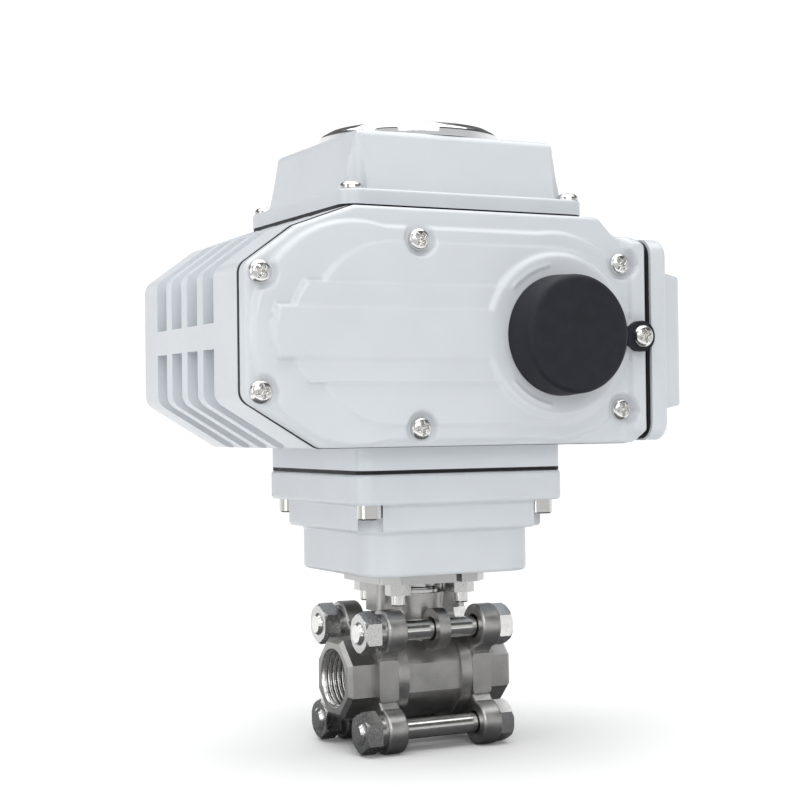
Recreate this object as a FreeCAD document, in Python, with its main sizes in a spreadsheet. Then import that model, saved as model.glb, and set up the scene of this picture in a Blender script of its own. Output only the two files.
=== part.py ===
import FreeCAD, Part
import os
import Sketcher
from FreeCAD import Placement, Rotation, Vector

# Motorized ball-valve actuator: a quarter-turn gear actuator on a three-piece threaded ball valve.
# Frame: origin at the centre of the ball, +X along the pipe towards the right-hand port, +Z up the
# stem, and -Y the side with the gear cover and the manual-override cap. Millimetres.

SIZES = {
    # valve
    "face_to_face": 65.0,
    "thread_major": 20.955,
    "thread_depth": 14.5,
    "bore_diameter": 15.0,
    "port_flats": 27.6,
    "port_chamfer": 1.4,
    "lobe_thickness": 7.5,
    "lobe_radius": 7.8,
    "hub_flats": 34.0,
    "arm_width": 12.4,
    "bolt_spacing": 34.6,
    "bolt_thread": 8.0,
    "bolt_shank": 7.1,
    "bolt_hole": 8.6,
    "hex_flats": 13.0,
    "nut_height": 6.0,
    "bolt_head_height": 5.3,
    "spring_washer": 2.1,
    "washer_outer": 12.8,
    "centre_length": 29.6,
    "centre_flats": 30.6,
    "rim_radius": 17.0,
    "rim_width": 4.3,
    "cavity_diameter": 26.4,
    "ball_diameter": 25.0,
    "neck_radius": 10.4,
    "neck_top": 29.0,
    "packing_diameter": 15.6,
    "stem_diameter": 10.0,
    "stem_square": 7.0,
    "stem_top": 49.0,
    "lug_radius": 7.2,
    "lug_width": 4.4,
    "ear_reach": 17.0,
    "ear_width": 13.0,
    "ear_height": 10.5,
    # adapter plate and base
    "plate_bottom": 33.5,
    "plate_thickness": 4.0,
    "plate_width": 42.0,
    "plate_corner": 6.0,
    "adapter_pitch_circle": 36.0,
    "drum_width": 66.0,
    "drum_height": 15.5,
    "drum_corner": 12.0,
    "collar_width": 72.4,
    "collar_height": 9.6,
    "collar_corner": 8.0,
    "flange_width": 80.6,
    "flange_thickness": 10.5,
    "flange_corner": 5.0,
    "base_bolt_spacing": 67.4,
    "base_cavity": 22.0,
    "gasket_thickness": 1.2,
    # main housing
    "block_height": 8.0,
    "housing_left": 85.0,
    "housing_right": 66.4,
    "housing_front": 45.0,
    "housing_back": 50.0,
    "housing_floor": 82.0,
    "housing_roof": 162.0,
    "shoulder_height": 155.4,
    "end_flat": 43.0,
    "wall": 5.0,
    "end_wall": 8.0,
    "rib_pitch": 15.8,
    "groove_width": 10.2,
    "groove_depth": 3.6,
    "groove_first": -24.0,
    "band_height": 8.6,
    "edge_round": 5.0,
    # front gear cover
    "drive_height": 119.6,
    "worm_offset": 29.6,
    "cover_flange": 4.8,
    "cover_raise": 4.0,
    "left_dome": 37.5,
    "right_dome": 36.7,
    "outer_screw_x": 79.6,
    "outer_screw_rise": 19.0,
    "middle_screw_x": 22.8,
    "middle_screw_rise": 31.3,
    "right_screw_x": 56.6,
    "right_screw_rise": 25.6,
    "screw_notch": 6.2,
    "cap_radius": 20.8,
    "cap_depth": 12.6,
    "cap_wall": 3.0,
    "tab_x": 61.8,
    "tab_radius": 5.4,
    "tab_thickness": 2.6,
    "hinge_x": 54.3,
    "hinge_radius": 1.1,
    "strap_half": 4.2,
    # top cover
    "lid_centre_x": 1.5,
    "lid_length": 94.8,
    "lid_depth": 85.6,
    "lid_rim": 5.4,
    "lid_height": 26.8,
    "lid_taper": 13.0,
    "lid_inset": 4.0,
    "lid_corner": 6.0,
    "lid_wall": 9.0,
    "lid_screw_inset": 4.9,
    "pocket_radius": 5.6,
    "bezel_radius": 32.9,
    "bezel_height": 5.0,
    "window_radius": 25.5,
    # terminal cover
    "terminal_bottom": 83.0,
    "terminal_top": 154.5,
    "terminal_front": 55.0,
    "terminal_back": 50.0,
    "terminal_flange": 7.2,
    "terminal_raise": 13.7,
    "terminal_block_height": 41.0,
    "terminal_block_inset": 8.6,
    "terminal_screw_inset": 6.3,
    # fasteners
    "screw_thread": 4.0,
    "screw_head": 7.8,
    "screw_head_height": 2.6,
    "cap_screw_thread": 5.0,
    "cap_screw_head": 8.5,
    "cap_screw_head_height": 5.0,
    # drive
    "gear_module": 1.0,
    "gear_face": 4.5,
    "gear_step": 5.5,
    "worm_module": 1.2,
    "worm_radius": 8.0,
    "worm_length": 24.0,
    "rear_bearing_start": 26.0,
    "wheel_face": 8.0,
    "shaft_diameter": 22.0,
    "journal_diameter": 24.0,
    "upper_shaft": 14.0,
    "motor_diameter": 40.0,
    "motor_length": 60.0,
    "bearing_outer": 19.0,
    "bearing_width": 6.0,
    "worm_shaft": 10.0,
    "pin_diameter": 5.0,
    "override_hex": 8.0,
    # clearances
    "run_gap": 0.08,
    "fit_gap": 0.04,
    "free_gap": 0.4,
}

TEETH = {"motor": 12, "a_large": 40, "a_small": 14, "b_large": 34, "b_small": 14, "worm": 37}
WHEEL_TEETH = 36
WORM_TURNS = 5

doc = FreeCAD.newDocument("valve_actuator")
sheet = doc.addObject("Spreadsheet::Sheet", "Sizes")
for row, (alias, number) in enumerate(SIZES.items(), start=1):
    sheet.set(f"A{row}", alias)
    sheet.set(f"B{row}", str(number))
    sheet.setAlias(f"B{row}", alias)
doc.recompute()


class Size:
    """A length worked out from the sheet: its number, and the expression that keeps it bound."""

    def __init__(self, text, number):
        self.text = text
        self.number = float(number)

    def __add__(self, other):
        other = as_size(other)
        return Size(f"({self.text} + {other.text})", self.number + other.number)

    def __sub__(self, other):
        other = as_size(other)
        return Size(f"({self.text} - {other.text})", self.number - other.number)

    def __mul__(self, other):
        other = as_size(other)
        return Size(f"({self.text} * {other.text})", self.number * other.number)

    def __truediv__(self, other):
        other = as_size(other)
        return Size(f"({self.text} / {other.text})", self.number / other.number)

    def __radd__(self, other):
        return as_size(other) + self

    def __rsub__(self, other):
        return as_size(other) - self

    def __rmul__(self, other):
        return as_size(other) * self

    def __neg__(self):
        return self * -1


def as_size(value):
    """Take a plain number as a Size too."""
    if isinstance(value, Size):
        return value
    return Size(f"({value})", value)


def cell(alias):
    """The Size held by one cell of the sheet."""
    return Size(f"Sizes.{alias}", sheet.get(alias))


def bind(item, name, size):
    """Set a property of a document object from a Size, and keep it bound."""
    item.setExpression(name, as_size(size).text)


PLANES = {"X": "YZ_Plane", "Y": "XZ_Plane", "Z": "XY_Plane"}
AXES = {"X": "X_Axis", "Y": "Y_Axis", "Z": "Z_Axis"}
UNIT = {"X": Vector(1, 0, 0), "Y": Vector(0, 1, 0), "Z": Vector(0, 0, 1)}


def pin_point(sketch, edge, end, across, up):
    """Fix one point of a sketch edge at a place measured from the sketch's origin."""
    for kind, size in (("DistanceX", across), ("DistanceY", up)):
        size = as_size(size)
        index = sketch.addConstraint(Sketcher.Constraint(kind, -1, 1, edge, end, size.number))
        bind(sketch, f"Constraints[{index}]", size)


def circle(across, up, radius):
    """A circle in a sketch, by its centre and radius."""
    across, up, radius = as_size(across), as_size(up), as_size(radius)

    def draw(sketch):
        centre = Vector(across.number, up.number, 0)
        edge = sketch.addGeometry(Part.Circle(centre, Vector(0, 0, 1), radius.number))
        pin_point(sketch, edge, 3, across, up)
        index = sketch.addConstraint(Sketcher.Constraint("Radius", edge, radius.number))
        bind(sketch, f"Constraints[{index}]", radius)

    return draw


def polygon(points):
    """A closed outline of straight edges through the given points."""
    points = [(as_size(across), as_size(up)) for across, up in points]

    def draw(sketch):
        corners = [Vector(across.number, up.number, 0) for across, up in points]
        edges = []
        for corner, following in zip(corners, corners[1:] + corners[:1]):
            edges.append(sketch.addGeometry(Part.LineSegment(corner, following)))
        for edge, following in zip(edges, edges[1:] + edges[:1]):
            sketch.addConstraint(Sketcher.Constraint("Coincident", edge, 2, following, 1))
        for edge, (across, up) in zip(edges, points):
            pin_point(sketch, edge, 1, across, up)

    return draw


def rectangle(left, bottom, right, top):
    """A rectangle by its two corners."""
    return polygon([(left, bottom), (right, bottom), (right, top), (left, top)])


def centred(width, depth, across=0, up=0):
    """A rectangle by its size and its centre."""
    half_width, half_depth = as_size(width) / 2, as_size(depth) / 2
    return rectangle(across - half_width, up - half_depth, across + half_width, up + half_depth)


def regular(flats, sides, turn=0.0, across=0, up=0):
    """A regular polygon by the width across its flats; turn is in degrees."""
    corner = as_size(flats) / 2
    points = []
    for index in range(sides):
        angle = turn + (index + 0.5) * 360 / sides
        direction = Rotation(Vector(0, 0, 1), angle).multVec(Vector(1, 0, 0))
        half_step = Rotation(Vector(0, 0, 1), 180 / sides).multVec(Vector(1, 0, 0)).x
        reach = corner / half_step
        points.append((across + reach * direction.x, up + reach * direction.y))
    return polygon(points)


class Piece:
    """One physical piece, built feature by feature in its own body."""

    def __init__(self, label):
        self.body = doc.addObject("PartDesign::Body", label)
        self.body.Label = label
        self.features = []

    def origin_item(self, role):
        return next(item for item in self.body.Origin.OriginFeatures if item.Role == role)

    def sketch(self, axis, offset, outlines):
        sketch = self.body.newObject("Sketcher::SketchObject", self.body.Name + "_outline")
        sketch.AttachmentSupport = [(self.origin_item(PLANES[axis]), "")]
        sketch.MapMode = "FlatFace"
        bind(sketch, "AttachmentOffset.Base.z", offset)
        for draw in outlines:
            draw(sketch)
        return sketch

    def add(self, kind, sketch):
        feature = self.body.newObject("PartDesign::" + kind, f"{self.body.Name}_{kind.lower()}")
        feature.Profile = sketch
        self.features.append(feature)
        return feature

    def prism(self, axis, start, end, *outlines, cut=False, taper=None):
        """Fill, or cut away, the outlines from start to end along an axis."""
        start, end = as_size(start), as_size(end)
        sketch = self.sketch(axis, -end if axis == "Y" else start, outlines)
        feature = self.add("Pocket" if cut else "Pad", sketch)
        bind(feature, "Length", end - start)
        if taper is not None:
            bind(feature, "TaperAngle", taper)
        feature.Reversed = cut
        return self

    def turned(self, axis, points, cut=False):
        """Turn a profile of (along, radius) points about one of the body's own axes."""
        if axis == "X":
            plane, reference, outline = "Z", "H_Axis", points
        else:
            plane, reference = ("Y" if axis == "Z" else "Z"), "V_Axis"
            outline = [(radius, along) for along, radius in points]
        sketch = self.sketch(plane, 0, [polygon(outline)])
        feature = self.add("Groove" if cut else "Revolution", sketch)
        feature.ReferenceAxis = (sketch, [reference])
        feature.Angle = 360
        return self

    def repeat_round(self, axis, count, features=1):
        """Repeat the last features evenly about an axis."""
        pattern = self.body.newObject("PartDesign::PolarPattern", self.body.Name + "_round")
        pattern.Originals = self.features[-features:]
        pattern.Axis = (self.origin_item(AXES[axis]), [""])
        pattern.Angle = 360
        pattern.Occurrences = count
        self.body.Tip = pattern
        self.features.append(pattern)
        return self

    def repeat_along(self, axis, pitch, count):
        """Repeat the last feature along an axis."""
        pattern = self.body.newObject("PartDesign::LinearPattern", self.body.Name + "_row")
        pattern.Originals = self.features[-1:]
        pattern.Direction = (self.origin_item(AXES[axis]), [""])
        bind(pattern, "Length", pitch * (count - 1))
        pattern.Occurrences = count
        self.body.Tip = pattern
        self.features.append(pattern)
        return self

    def soften(self, kind, size, pick):
        """Round or bevel the edges of the last feature that pick accepts."""
        doc.recompute([self.body])
        names = []
        for index, edge in enumerate(self.body.Shape.Edges, start=1):
            if pick(edge):
                names.append(f"Edge{index}")
        if not names:
            raise ValueError(f"{self.body.Label}: no edge to soften")
        base = self.body.Tip
        feature = self.body.newObject("PartDesign::" + kind, f"{self.body.Name}_{kind.lower()}")
        feature.Base = (base, names)
        bind(feature, "Radius" if kind == "Fillet" else "Size", size)
        self.features.append(feature)
        return self

    def round_along(self, axis, size, low=None, high=None):
        """Round the straight edges that run along an axis, between two heights on it."""
        return self.soften("Fillet", size, runs_along(axis, low, high))

    def place(self, across=0, back=0, up=0):
        for name, size in (("x", across), ("y", back), ("z", up)):
            bind(self.body, "Placement.Base." + name, size)
        return self


def runs_along(axis, low=None, high=None):
    """Accept straight edges parallel to an axis whose ends lie between low and high."""
    unit = UNIT[axis]

    def pick(edge):
        if edge.Curve.TypeId != "Part::GeomLine":
            return False
        ends = [vertex.Point for vertex in edge.Vertexes]
        run = ends[1] - ends[0]
        if abs(run.dot(unit)) < 0.999 * run.Length:
            return False
        reach = [end.dot(unit) for end in ends]
        slack = 0.01
        above = low is None or min(reach) > as_size(low).number - slack
        below = high is None or max(reach) < as_size(high).number + slack
        return above and below

    return pick


def lies_at(axis, place, inside=None, outside=None):
    """Accept edges that lie in one plane across an axis, nearer or farther than a distance."""
    unit = UNIT[axis]
    place = as_size(place)

    def pick(edge):
        box = edge.BoundBox
        low = Vector(box.XMin, box.YMin, box.ZMin).dot(unit)
        high = Vector(box.XMax, box.YMax, box.ZMax).dot(unit)
        if abs(low - place.number) > 0.01 or abs(high - place.number) > 0.01:
            return False
        flat = edge.CenterOfMass - unit * edge.CenterOfMass.dot(unit)
        near = inside is None or flat.Length < as_size(inside).number
        far = outside is None or flat.Length > as_size(outside).number
        return near and far

    return pick


def group(label, form, spots, turn=None):
    """Identical pieces that share one node: links to one form at several places."""
    links = []
    for across, back, up in spots:
        link = doc.addObject("App::Link", label + "_item")
        link.LinkedObject = form.body
        link.Placement = Placement(Vector(0, 0, 0), turn or Rotation())
        for name, size in (("x", across), ("y", back), ("z", up)):
            bind(link, "Placement.Base." + name, size)
        links.append(link)
    compound = doc.addObject("Part::Compound", label)
    compound.Label = label
    compound.Links = links
    NODES.append(compound)


def node(piece):
    """Export this piece under its own label."""
    NODES.append(piece.body)
    return piece


def corners(half_x, half_y, at=0, centre_x=0, centre_y=0):
    """The four corner places of a rectangle."""
    spots = []
    for side_x in (-1, 1):
        for side_y in (-1, 1):
            spots.append((centre_x + half_x * side_x, centre_y + half_y * side_y, as_size(at)))
    return spots


NODES = []

# ---- heights and clearances that several pieces share -------------------------------------------
run_gap = cell("run_gap")
fit_gap = cell("fit_gap")
free_gap = cell("free_gap")
gasket = cell("gasket_thickness")
drive_height = cell("drive_height")
worm_x = cell("worm_offset")
plate_bottom = cell("plate_bottom")
plate_top = plate_bottom + cell("plate_thickness")
collar_bottom = plate_top + cell("drum_height")
flange_bottom = collar_bottom + cell("collar_height")
flange_top = flange_bottom + cell("flange_thickness")
block_bottom = flange_top + gasket
floor = cell("housing_floor")
roof = cell("housing_roof")
front = -cell("housing_front")
back = cell("housing_back")
left = -cell("housing_left")
right = cell("housing_right")
lid_bottom = roof + gasket
lid_rim_top = lid_bottom + cell("lid_rim")
lid_top = lid_bottom + cell("lid_height")
cover_back = front - gasket
flange_face = cover_back - cell("cover_flange")
cover_face = flange_face - cell("cover_raise")
terminal_start = right + gasket
terminal_face = terminal_start + cell("terminal_flange")

# ---- valve --------------------------------------------------------------------------------------
port_end = cell("face_to_face") / 2
centre_half = cell("centre_length") / 2
lobe_inner = centre_half + run_gap
lobe_outer = lobe_inner + cell("lobe_thickness")
ball_radius = cell("ball_diameter") / 2
bore_radius = cell("bore_diameter") / 2
cavity_radius = cell("cavity_diameter") / 2
bolt_half = cell("bolt_spacing") / 2
stem_radius = cell("stem_diameter") / 2
packing_radius = cell("packing_diameter") / 2
neck_top = cell("neck_top")
collar_radius = stem_radius + 1.6
stem_shoulder = ball_radius + 3.6
packing_floor = stem_shoulder + 4.6
seat_back = 11.2
# The seat's cone touches the ball at 45 degrees; its two coordinates add up to a constant.
seat_sum = (ball_radius + run_gap) * 1.41421356


def valve_body():
    """Centre section: two round rims, a ten-sided waist, the neck, two ears and the bolt lug."""
    piece = Piece("valve_body")
    rim = cell("rim_radius")
    piece.prism("X", -centre_half, centre_half, regular(cell("centre_flats"), 10))
    for side in (-1, 1):
        ends = sorted((centre_half * side, (centre_half - cell("rim_width")) * side),
                      key=lambda size: size.number)
        piece.prism("X", ends[0], ends[1], circle(0, 0, rim))
    piece.prism("Z", rim / 2, neck_top, circle(0, 0, cell("neck_radius")))
    ear_top = plate_bottom
    ear_low = ear_top - cell("ear_height")
    reach = cell("ear_reach")
    piece.prism("Z", ear_low, ear_top, centred(reach * 2, cell("ear_width")))
    piece.round_along("Z", 2.6, ear_low, ear_top)
    piece.prism("Z", neck_top, ear_top + 1, circle(0, 0, cell("neck_radius") + 1.2), cut=True)
    lug_half = cell("lug_width") / 2
    piece.prism("X", -lug_half, lug_half, circle(-bolt_half, bolt_half, cell("lug_radius")))
    piece.prism("X", -lug_half, lug_half, lug_web())
    piece.prism("X", -lug_half - 1, lug_half + 1, circle(-bolt_half, bolt_half,
                cell("bolt_hole") / 2), cut=True)
    piece.prism("X", -centre_half - 1, centre_half + 1, circle(0, 0, cavity_radius), cut=True)
    for start, end in ((-centre_half - 1, 1.2 - centre_half), (centre_half - 1.2, centre_half + 1)):
        piece.prism("X", start, end, circle(0, 0, cavity_radius + 1.5), cut=True)
    step = stem_shoulder + run_gap
    piece.turned("Z", [(0, 0), (0, collar_radius + run_gap), (step, collar_radius + run_gap),
                       (step, stem_radius + run_gap), (packing_floor, stem_radius + run_gap),
                       (packing_floor, packing_radius), (ear_top + 1, packing_radius),
                       (ear_top + 1, 0)], cut=True)
    holes = [circle((reach - 3.6) * side, 0, 2.1) for side in (-1, 1)]
    piece.prism("Z", ear_top - 8, ear_top + 1, *holes, cut=True)
    return node(piece)


def lug_web():
    """The short rib that joins the bolt lug to the waist, inside the lug's own circle."""
    inner = bolt_half - 6.4
    return polygon([(-inner, bolt_half - 2.2), (-bolt_half - 0.4, bolt_half - 6.0),
                    (-inner - 1.0, inner - 2.0), (-inner + 3.0, inner + 1.0)])


def end_cap(label, side):
    """Threaded end: octagonal port, four bolt lobes and the spigot that backs the seat."""
    piece = Piece(label)
    hub = cell("hub_flats")
    arm = cell("arm_width")
    piece.prism("X", lobe_inner, lobe_outer, regular(hub, 8))
    piece.prism("X", lobe_inner, port_end, regular(cell("port_flats"), 8))
    piece.soften("Chamfer", cell("port_chamfer"), lies_at("X", port_end))
    slant = arm / 2 * 0.7071
    piece.prism("X", lobe_inner, lobe_outer,
                polygon([(slant, -slant), (bolt_half + slant, bolt_half - slant),
                         (bolt_half - slant, bolt_half + slant), (-slant, slant)]))
    piece.prism("X", lobe_inner, lobe_outer, circle(bolt_half, bolt_half, cell("lobe_radius")))
    piece.repeat_round("X", 4, features=2)
    for face in (lobe_inner, lobe_outer):
        piece.soften("Fillet", 0.9, lies_at("X", face, outside=hub * 0.53))
    piece.prism("X", lobe_inner - 1, lobe_outer + 1,
                *[circle(bolt_half * y, bolt_half * z, cell("bolt_hole") / 2)
                  for y in (-1, 1) for z in (-1, 1)], cut=True)
    piece.prism("X", seat_back, lobe_inner + 1, circle(0, 0, cavity_radius - fit_gap))
    mouth = cell("thread_major") / 2
    piece.prism("X", 0, port_end + 1, circle(0, 0, bore_radius), cut=True)
    piece.prism("X", port_end - cell("thread_depth"), port_end + 1, circle(0, 0, mouth), cut=True)
    piece.body.Placement = Placement(Vector(0, 0, 0), Rotation(Vector(0, 0, 1), 90 - 90 * side))
    return node(piece)


def ball():
    """Full-bore ball with the stem's slot across its top."""
    sphere = doc.addObject("Part::Sphere", "ball_sphere")
    bind(sphere, "Radius", ball_radius)
    bore = doc.addObject("Part::Cylinder", "ball_bore")
    bind(bore, "Radius", bore_radius)
    bind(bore, "Height", ball_radius * 2 + 2)
    bore.Placement = Placement(Vector(0, 0, 0), Rotation(Vector(0, 1, 0), 90))
    bind(bore, "Placement.Base.x", -ball_radius - 1)
    slot = doc.addObject("Part::Box", "ball_slot")
    bind(slot, "Length", blade_width + run_gap * 2)
    bind(slot, "Width", ball_radius * 2)
    bind(slot, "Height", ball_radius)
    bind(slot, "Placement.Base.x", -(blade_width / 2 + run_gap))
    bind(slot, "Placement.Base.y", -ball_radius)
    bind(slot, "Placement.Base.z", blade_bottom - run_gap * 2)
    bored = doc.addObject("Part::Cut", "ball_bored")
    bored.Base = sphere
    bored.Tool = bore
    cut = doc.addObject("Part::Cut", "ball")
    cut.Label = "ball"
    cut.Base = bored
    cut.Tool = slot
    NODES.append(cut)


blade_width = stem_radius * 0.94
blade_bottom = ball_radius - 3.2


def seat_rings():
    """Two soft seats, each between the ball and an end cap's spigot."""
    form = Piece("seat_ring_form")
    lip = seat_sum - bore_radius
    heel = cavity_radius - 2.6
    form.turned("X", [(seat_back, bore_radius), (seat_back, cavity_radius - fit_gap),
                      (seat_sum - heel - 1.4, cavity_radius - fit_gap), (seat_sum - heel, heel),
                      (lip, bore_radius)])
    mirror_pair("seat_rings", form)


def body_seals():
    """Two flat seal rings in the narrow joint between the centre section and the end caps."""
    form = Piece("body_seal_form")
    inner = cavity_radius + fit_gap
    form.turned("X", [(centre_half - 1.2, inner), (centre_half - 1.2, inner + 1.4),
                      (centre_half, inner + 1.4), (centre_half, inner)])
    mirror_pair("body_seals", form)


def mirror_pair(label, form):
    """The same ring at both ends of the valve."""
    links = []
    for side in (-1, 1):
        link = doc.addObject("App::Link", label + "_item")
        link.LinkedObject = form.body
        link.Placement = Placement(Vector(0, 0, 0), Rotation(Vector(0, 0, 1), 90 - 90 * side))
        links.append(link)
    compound = doc.addObject("Part::Compound", label)
    compound.Label = label
    compound.Links = links
    NODES.append(compound)


def stem():
    """Blow-out-proof stem: blade in the ball, thrust collar, round shank and square drive."""
    piece = Piece("stem")
    square_start = plate_top + 1.0
    collar_low = cavity_radius + 0.2
    piece.turned("Z", [(collar_low, 0), (collar_low, collar_radius),
                       (stem_shoulder - 0.9, collar_radius), (stem_shoulder - 0.9, stem_radius),
                       (square_start, stem_radius), (square_start, 0)])
    piece.prism("Z", blade_bottom, collar_low + 0.1, centred(blade_width, stem_radius * 1.7))
    piece.prism("Z", square_start - 0.1, cell("stem_top"), centred(cell("stem_square"),
                cell("stem_square")))
    piece.soften("Chamfer", 0.6, lies_at("Z", cell("stem_top")))
    return node(piece)


def ring(label, low, high, inner, outer, soft=None):
    """A plain ring about the stem."""
    piece = Piece(label)
    piece.turned("Z", [(low, inner), (low, outer), (high, outer), (high, inner)])
    if soft:
        piece.soften("Fillet", soft, lies_at("Z", high))
    return node(piece)


def stem_packing_set():
    """The sealing stack round the stem, from the thrust washer up to the gland nut."""
    inner = stem_radius + run_gap
    ring("stem_thrust_washer", stem_shoulder - 0.9, stem_shoulder, inner, collar_radius)
    rings_top = packing_floor + 4.4
    outer = packing_radius - fit_gap
    ring("stem_packing", packing_floor, rings_top, inner, outer)
    follower = Piece("gland_follower")
    lip = neck_top + 1.2
    follower.turned("Z", [(rings_top, inner), (rings_top, outer), (neck_top, outer),
                          (neck_top, outer + 1.6), (lip, outer + 1.6), (lip, inner)])
    node(follower)
    springs = Piece("disc_springs")
    dish = 0.5
    thick = 0.6
    springs.turned("Z", [(lip, outer), (lip + thick, outer), (lip + thick + dish, inner + 0.1),
                         (lip + dish, inner + 0.1)])
    node(springs)
    nut = Piece("gland_nut")
    nut_low = lip + thick + dish
    nut.prism("Z", nut_low, plate_bottom + 1.6, regular(cell("hex_flats") + 3, 6))
    nut.prism("Z", nut_low - 1, plate_bottom + 3, circle(0, 0, stem_radius + fit_gap), cut=True)
    node(nut)


def hexagon_bolt_set():
    """Four long bolts with a reduced shank, their plain nuts and their split spring washers."""
    seat = lobe_outer
    washer_end = seat + cell("spring_washer")
    nut_end = washer_end + cell("nut_height")
    thread = cell("bolt_thread") / 2
    tip = nut_end + 1.1
    form = Piece("body_bolt_form")
    head_end = seat + cell("bolt_head_height")
    form.prism("X", seat, head_end, regular(cell("hex_flats"), 6))
    form.turned("X", [(-tip, 0), (-tip, thread - 0.9), (0.9 - tip, thread), (-lobe_inner - 1.5, thread),
                      (-lobe_inner - 1.5, cell("bolt_shank") / 2),
                      (lobe_inner + 1.5, cell("bolt_shank") / 2), (lobe_inner + 1.5, thread),
                      (seat + 0.5, thread), (seat + 0.5, 0)])
    crown(form, "X", head_end, cell("hex_flats"))
    spots = [(as_size(0), bolt_half * y, bolt_half * z) for y in (-1, 1) for z in (-1, 1)]
    group("body_bolts", form, spots)
    nut = Piece("body_nut_form")
    nut.prism("X", -nut_end, -washer_end, regular(cell("hex_flats"), 6))
    crown(nut, "X", -nut_end, cell("hex_flats"))
    nut.prism("X", -nut_end - 1, -washer_end + 1, circle(0, 0, thread + fit_gap), cut=True)
    group("body_nuts", nut, spots)
    washer = Piece("spring_washer_form")
    washer.prism("X", -washer_end, -seat, circle(0, 0, cell("washer_outer") / 2))
    washer.prism("X", -washer_end - 1, -seat + 1, circle(0, 0, thread + fit_gap * 4), cut=True)
    washer.prism("X", -washer_end - 1, -seat + 1, centred(thread * 4, 0.9, thread * 2), cut=True)
    group("spring_washers", washer, spots)


def crown(piece, axis, place, flats):
    """Turn the corners of a hexagon down to a thirty-degree crown at its outer face."""
    side = 1 if as_size(place).number > 0 else -1
    outer = flats * 0.6
    rise = 1.4 * side
    piece.turned(axis, [(place + 0.5 * side, flats * 0.485), (place + 0.5 * side, outer),
                        (place - rise, outer)], cut=True)


def adapter_set():
    """Adapter plate between valve and base, with its screws, nuts and the two ear screws."""
    half = cell("plate_width") / 2
    cut = cell("plate_corner")
    piece = Piece("adapter_plate")
    outline = []
    for turn_x, turn_y in ((-1, -1), (1, -1), (1, 1), (-1, 1)):
        near = (half * turn_x, (half - cut) * turn_y)
        far = ((half - cut) * turn_x, half * turn_y)
        outline += [near, far] if turn_x == turn_y else [far, near]
    piece.prism("Z", plate_bottom, plate_top, polygon(outline))
    piece.round_along("Z", 2.0)
    piece.prism("Z", plate_bottom - 1, plate_top + 1, circle(0, 0, packing_radius + 3.6), cut=True)
    piece.prism("Z", plate_bottom - 1, plate_top + 1, centred(2.2, 12, 7.5, -half), cut=True)
    pattern = cell("adapter_pitch_circle") / 2 * 0.70710678
    stud = cell("cap_screw_thread") / 2
    seats = [(cell("ear_reach") - 3.6) * side for side in (-1, 1)]
    holes = [circle(across, deep, stud + 0.25) for across, deep, _ in corners(pattern, pattern)]
    holes += [circle(seat, 0, 2.2) for seat in seats]
    piece.prism("Z", plate_bottom - 1, plate_top + 1, *holes, cut=True)
    sinks = [circle(seat, 0, 3.9) for seat in seats]
    piece.prism("Z", plate_top - 2.4, plate_top + 1, *sinks, cut=True)
    node(piece)
    ear_screw = Piece("ear_screw_form")
    ear_screw.turned("Z", [(-10, 0), (-10, 2.05), (-2.3, 2.05), (-2.3, 3.7), (-0.3, 3.7),
                           (-0.3, 0)])
    ear_screw.prism("Z", -1.6, 0, regular(2.5, 6), cut=True)
    group("ear_screws", ear_screw,
          [((cell("ear_reach") - 3.6) * side, as_size(0), plate_top) for side in (-1, 1)])
    screw_top = plate_top + 7.0
    screw = Piece("adapter_stud_form")
    screw.turned("Z", [(-cell("plate_thickness") - 8.0, 0), (-cell("plate_thickness") - 8.0, stud - 0.5),
                       (-cell("plate_thickness") - 7.5, stud), (7.0, stud), (7.0, 0)])
    group("adapter_studs", screw, corners(pattern, pattern, plate_top))
    nut = Piece("adapter_nut_form")
    nut.prism("Z", -4.2, 0, regular(8.0, 6))
    nut.prism("Z", -5, 1, circle(0, 0, stud + fit_gap), cut=True)
    group("adapter_nuts", nut, corners(pattern, pattern, plate_bottom))
    return pattern, screw_top


# ---- base ---------------------------------------------------------------------------------------
journal = cell("journal_diameter") / 2
bush_wall = 3.0
bush_low = plate_top + 4.5
bush_high = bush_low + 15.0
shelf = collar_bottom + 5.0
thrust_collar = bush_high + 3.0


def base_housing(pattern, screw_top):
    """Cast base: rounded drum, collar and bolting flange round the output shaft."""
    piece = Piece("base_housing")
    stages = (("drum", plate_top, collar_bottom), ("collar", collar_bottom, flange_bottom),
              ("flange", flange_bottom, flange_top))
    for name, low, high in stages:
        width = cell(name + "_width")
        piece.prism("Z", low, high, centred(width, width))
        piece.round_along("Z", cell(name + "_corner"), low, high)
    for name, low, high in stages:
        piece.soften("Fillet", 1.4, lies_at("Z", low, outside=cell(name + "_width") * 0.46))
    piece.soften("Fillet", 1.4, lies_at("Z", flange_top))
    piece.prism("Z", plate_top - 1, bush_low + 1, circle(0, 0, journal + free_gap), cut=True)
    piece.prism("Z", bush_low, bush_high + 1, circle(0, 0, journal + bush_wall), cut=True)
    piece.prism("Z", bush_high, flange_top + 1, circle(0, 0, cell("base_cavity")), cut=True)
    bolt = cell("base_bolt_spacing") / 2
    shank = cell("cap_screw_thread") / 2
    holes = [circle(x, y, shank + 0.25) for x, y, _ in corners(bolt, bolt)]
    piece.prism("Z", flange_bottom - 1, flange_top + 1, *holes, cut=True)
    head = cell("cap_screw_head") / 2
    recesses = [circle(x, y, head + free_gap) for x, y, _ in corners(bolt, bolt)]
    piece.prism("Z", collar_bottom - 1, flange_bottom, *recesses, cut=True)
    holes = [circle(x, y, shank + fit_gap) for x, y, _ in corners(pattern, pattern)]
    piece.prism("Z", plate_top - 1, screw_top + 0.5, *holes, cut=True)
    return node(piece)


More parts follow.
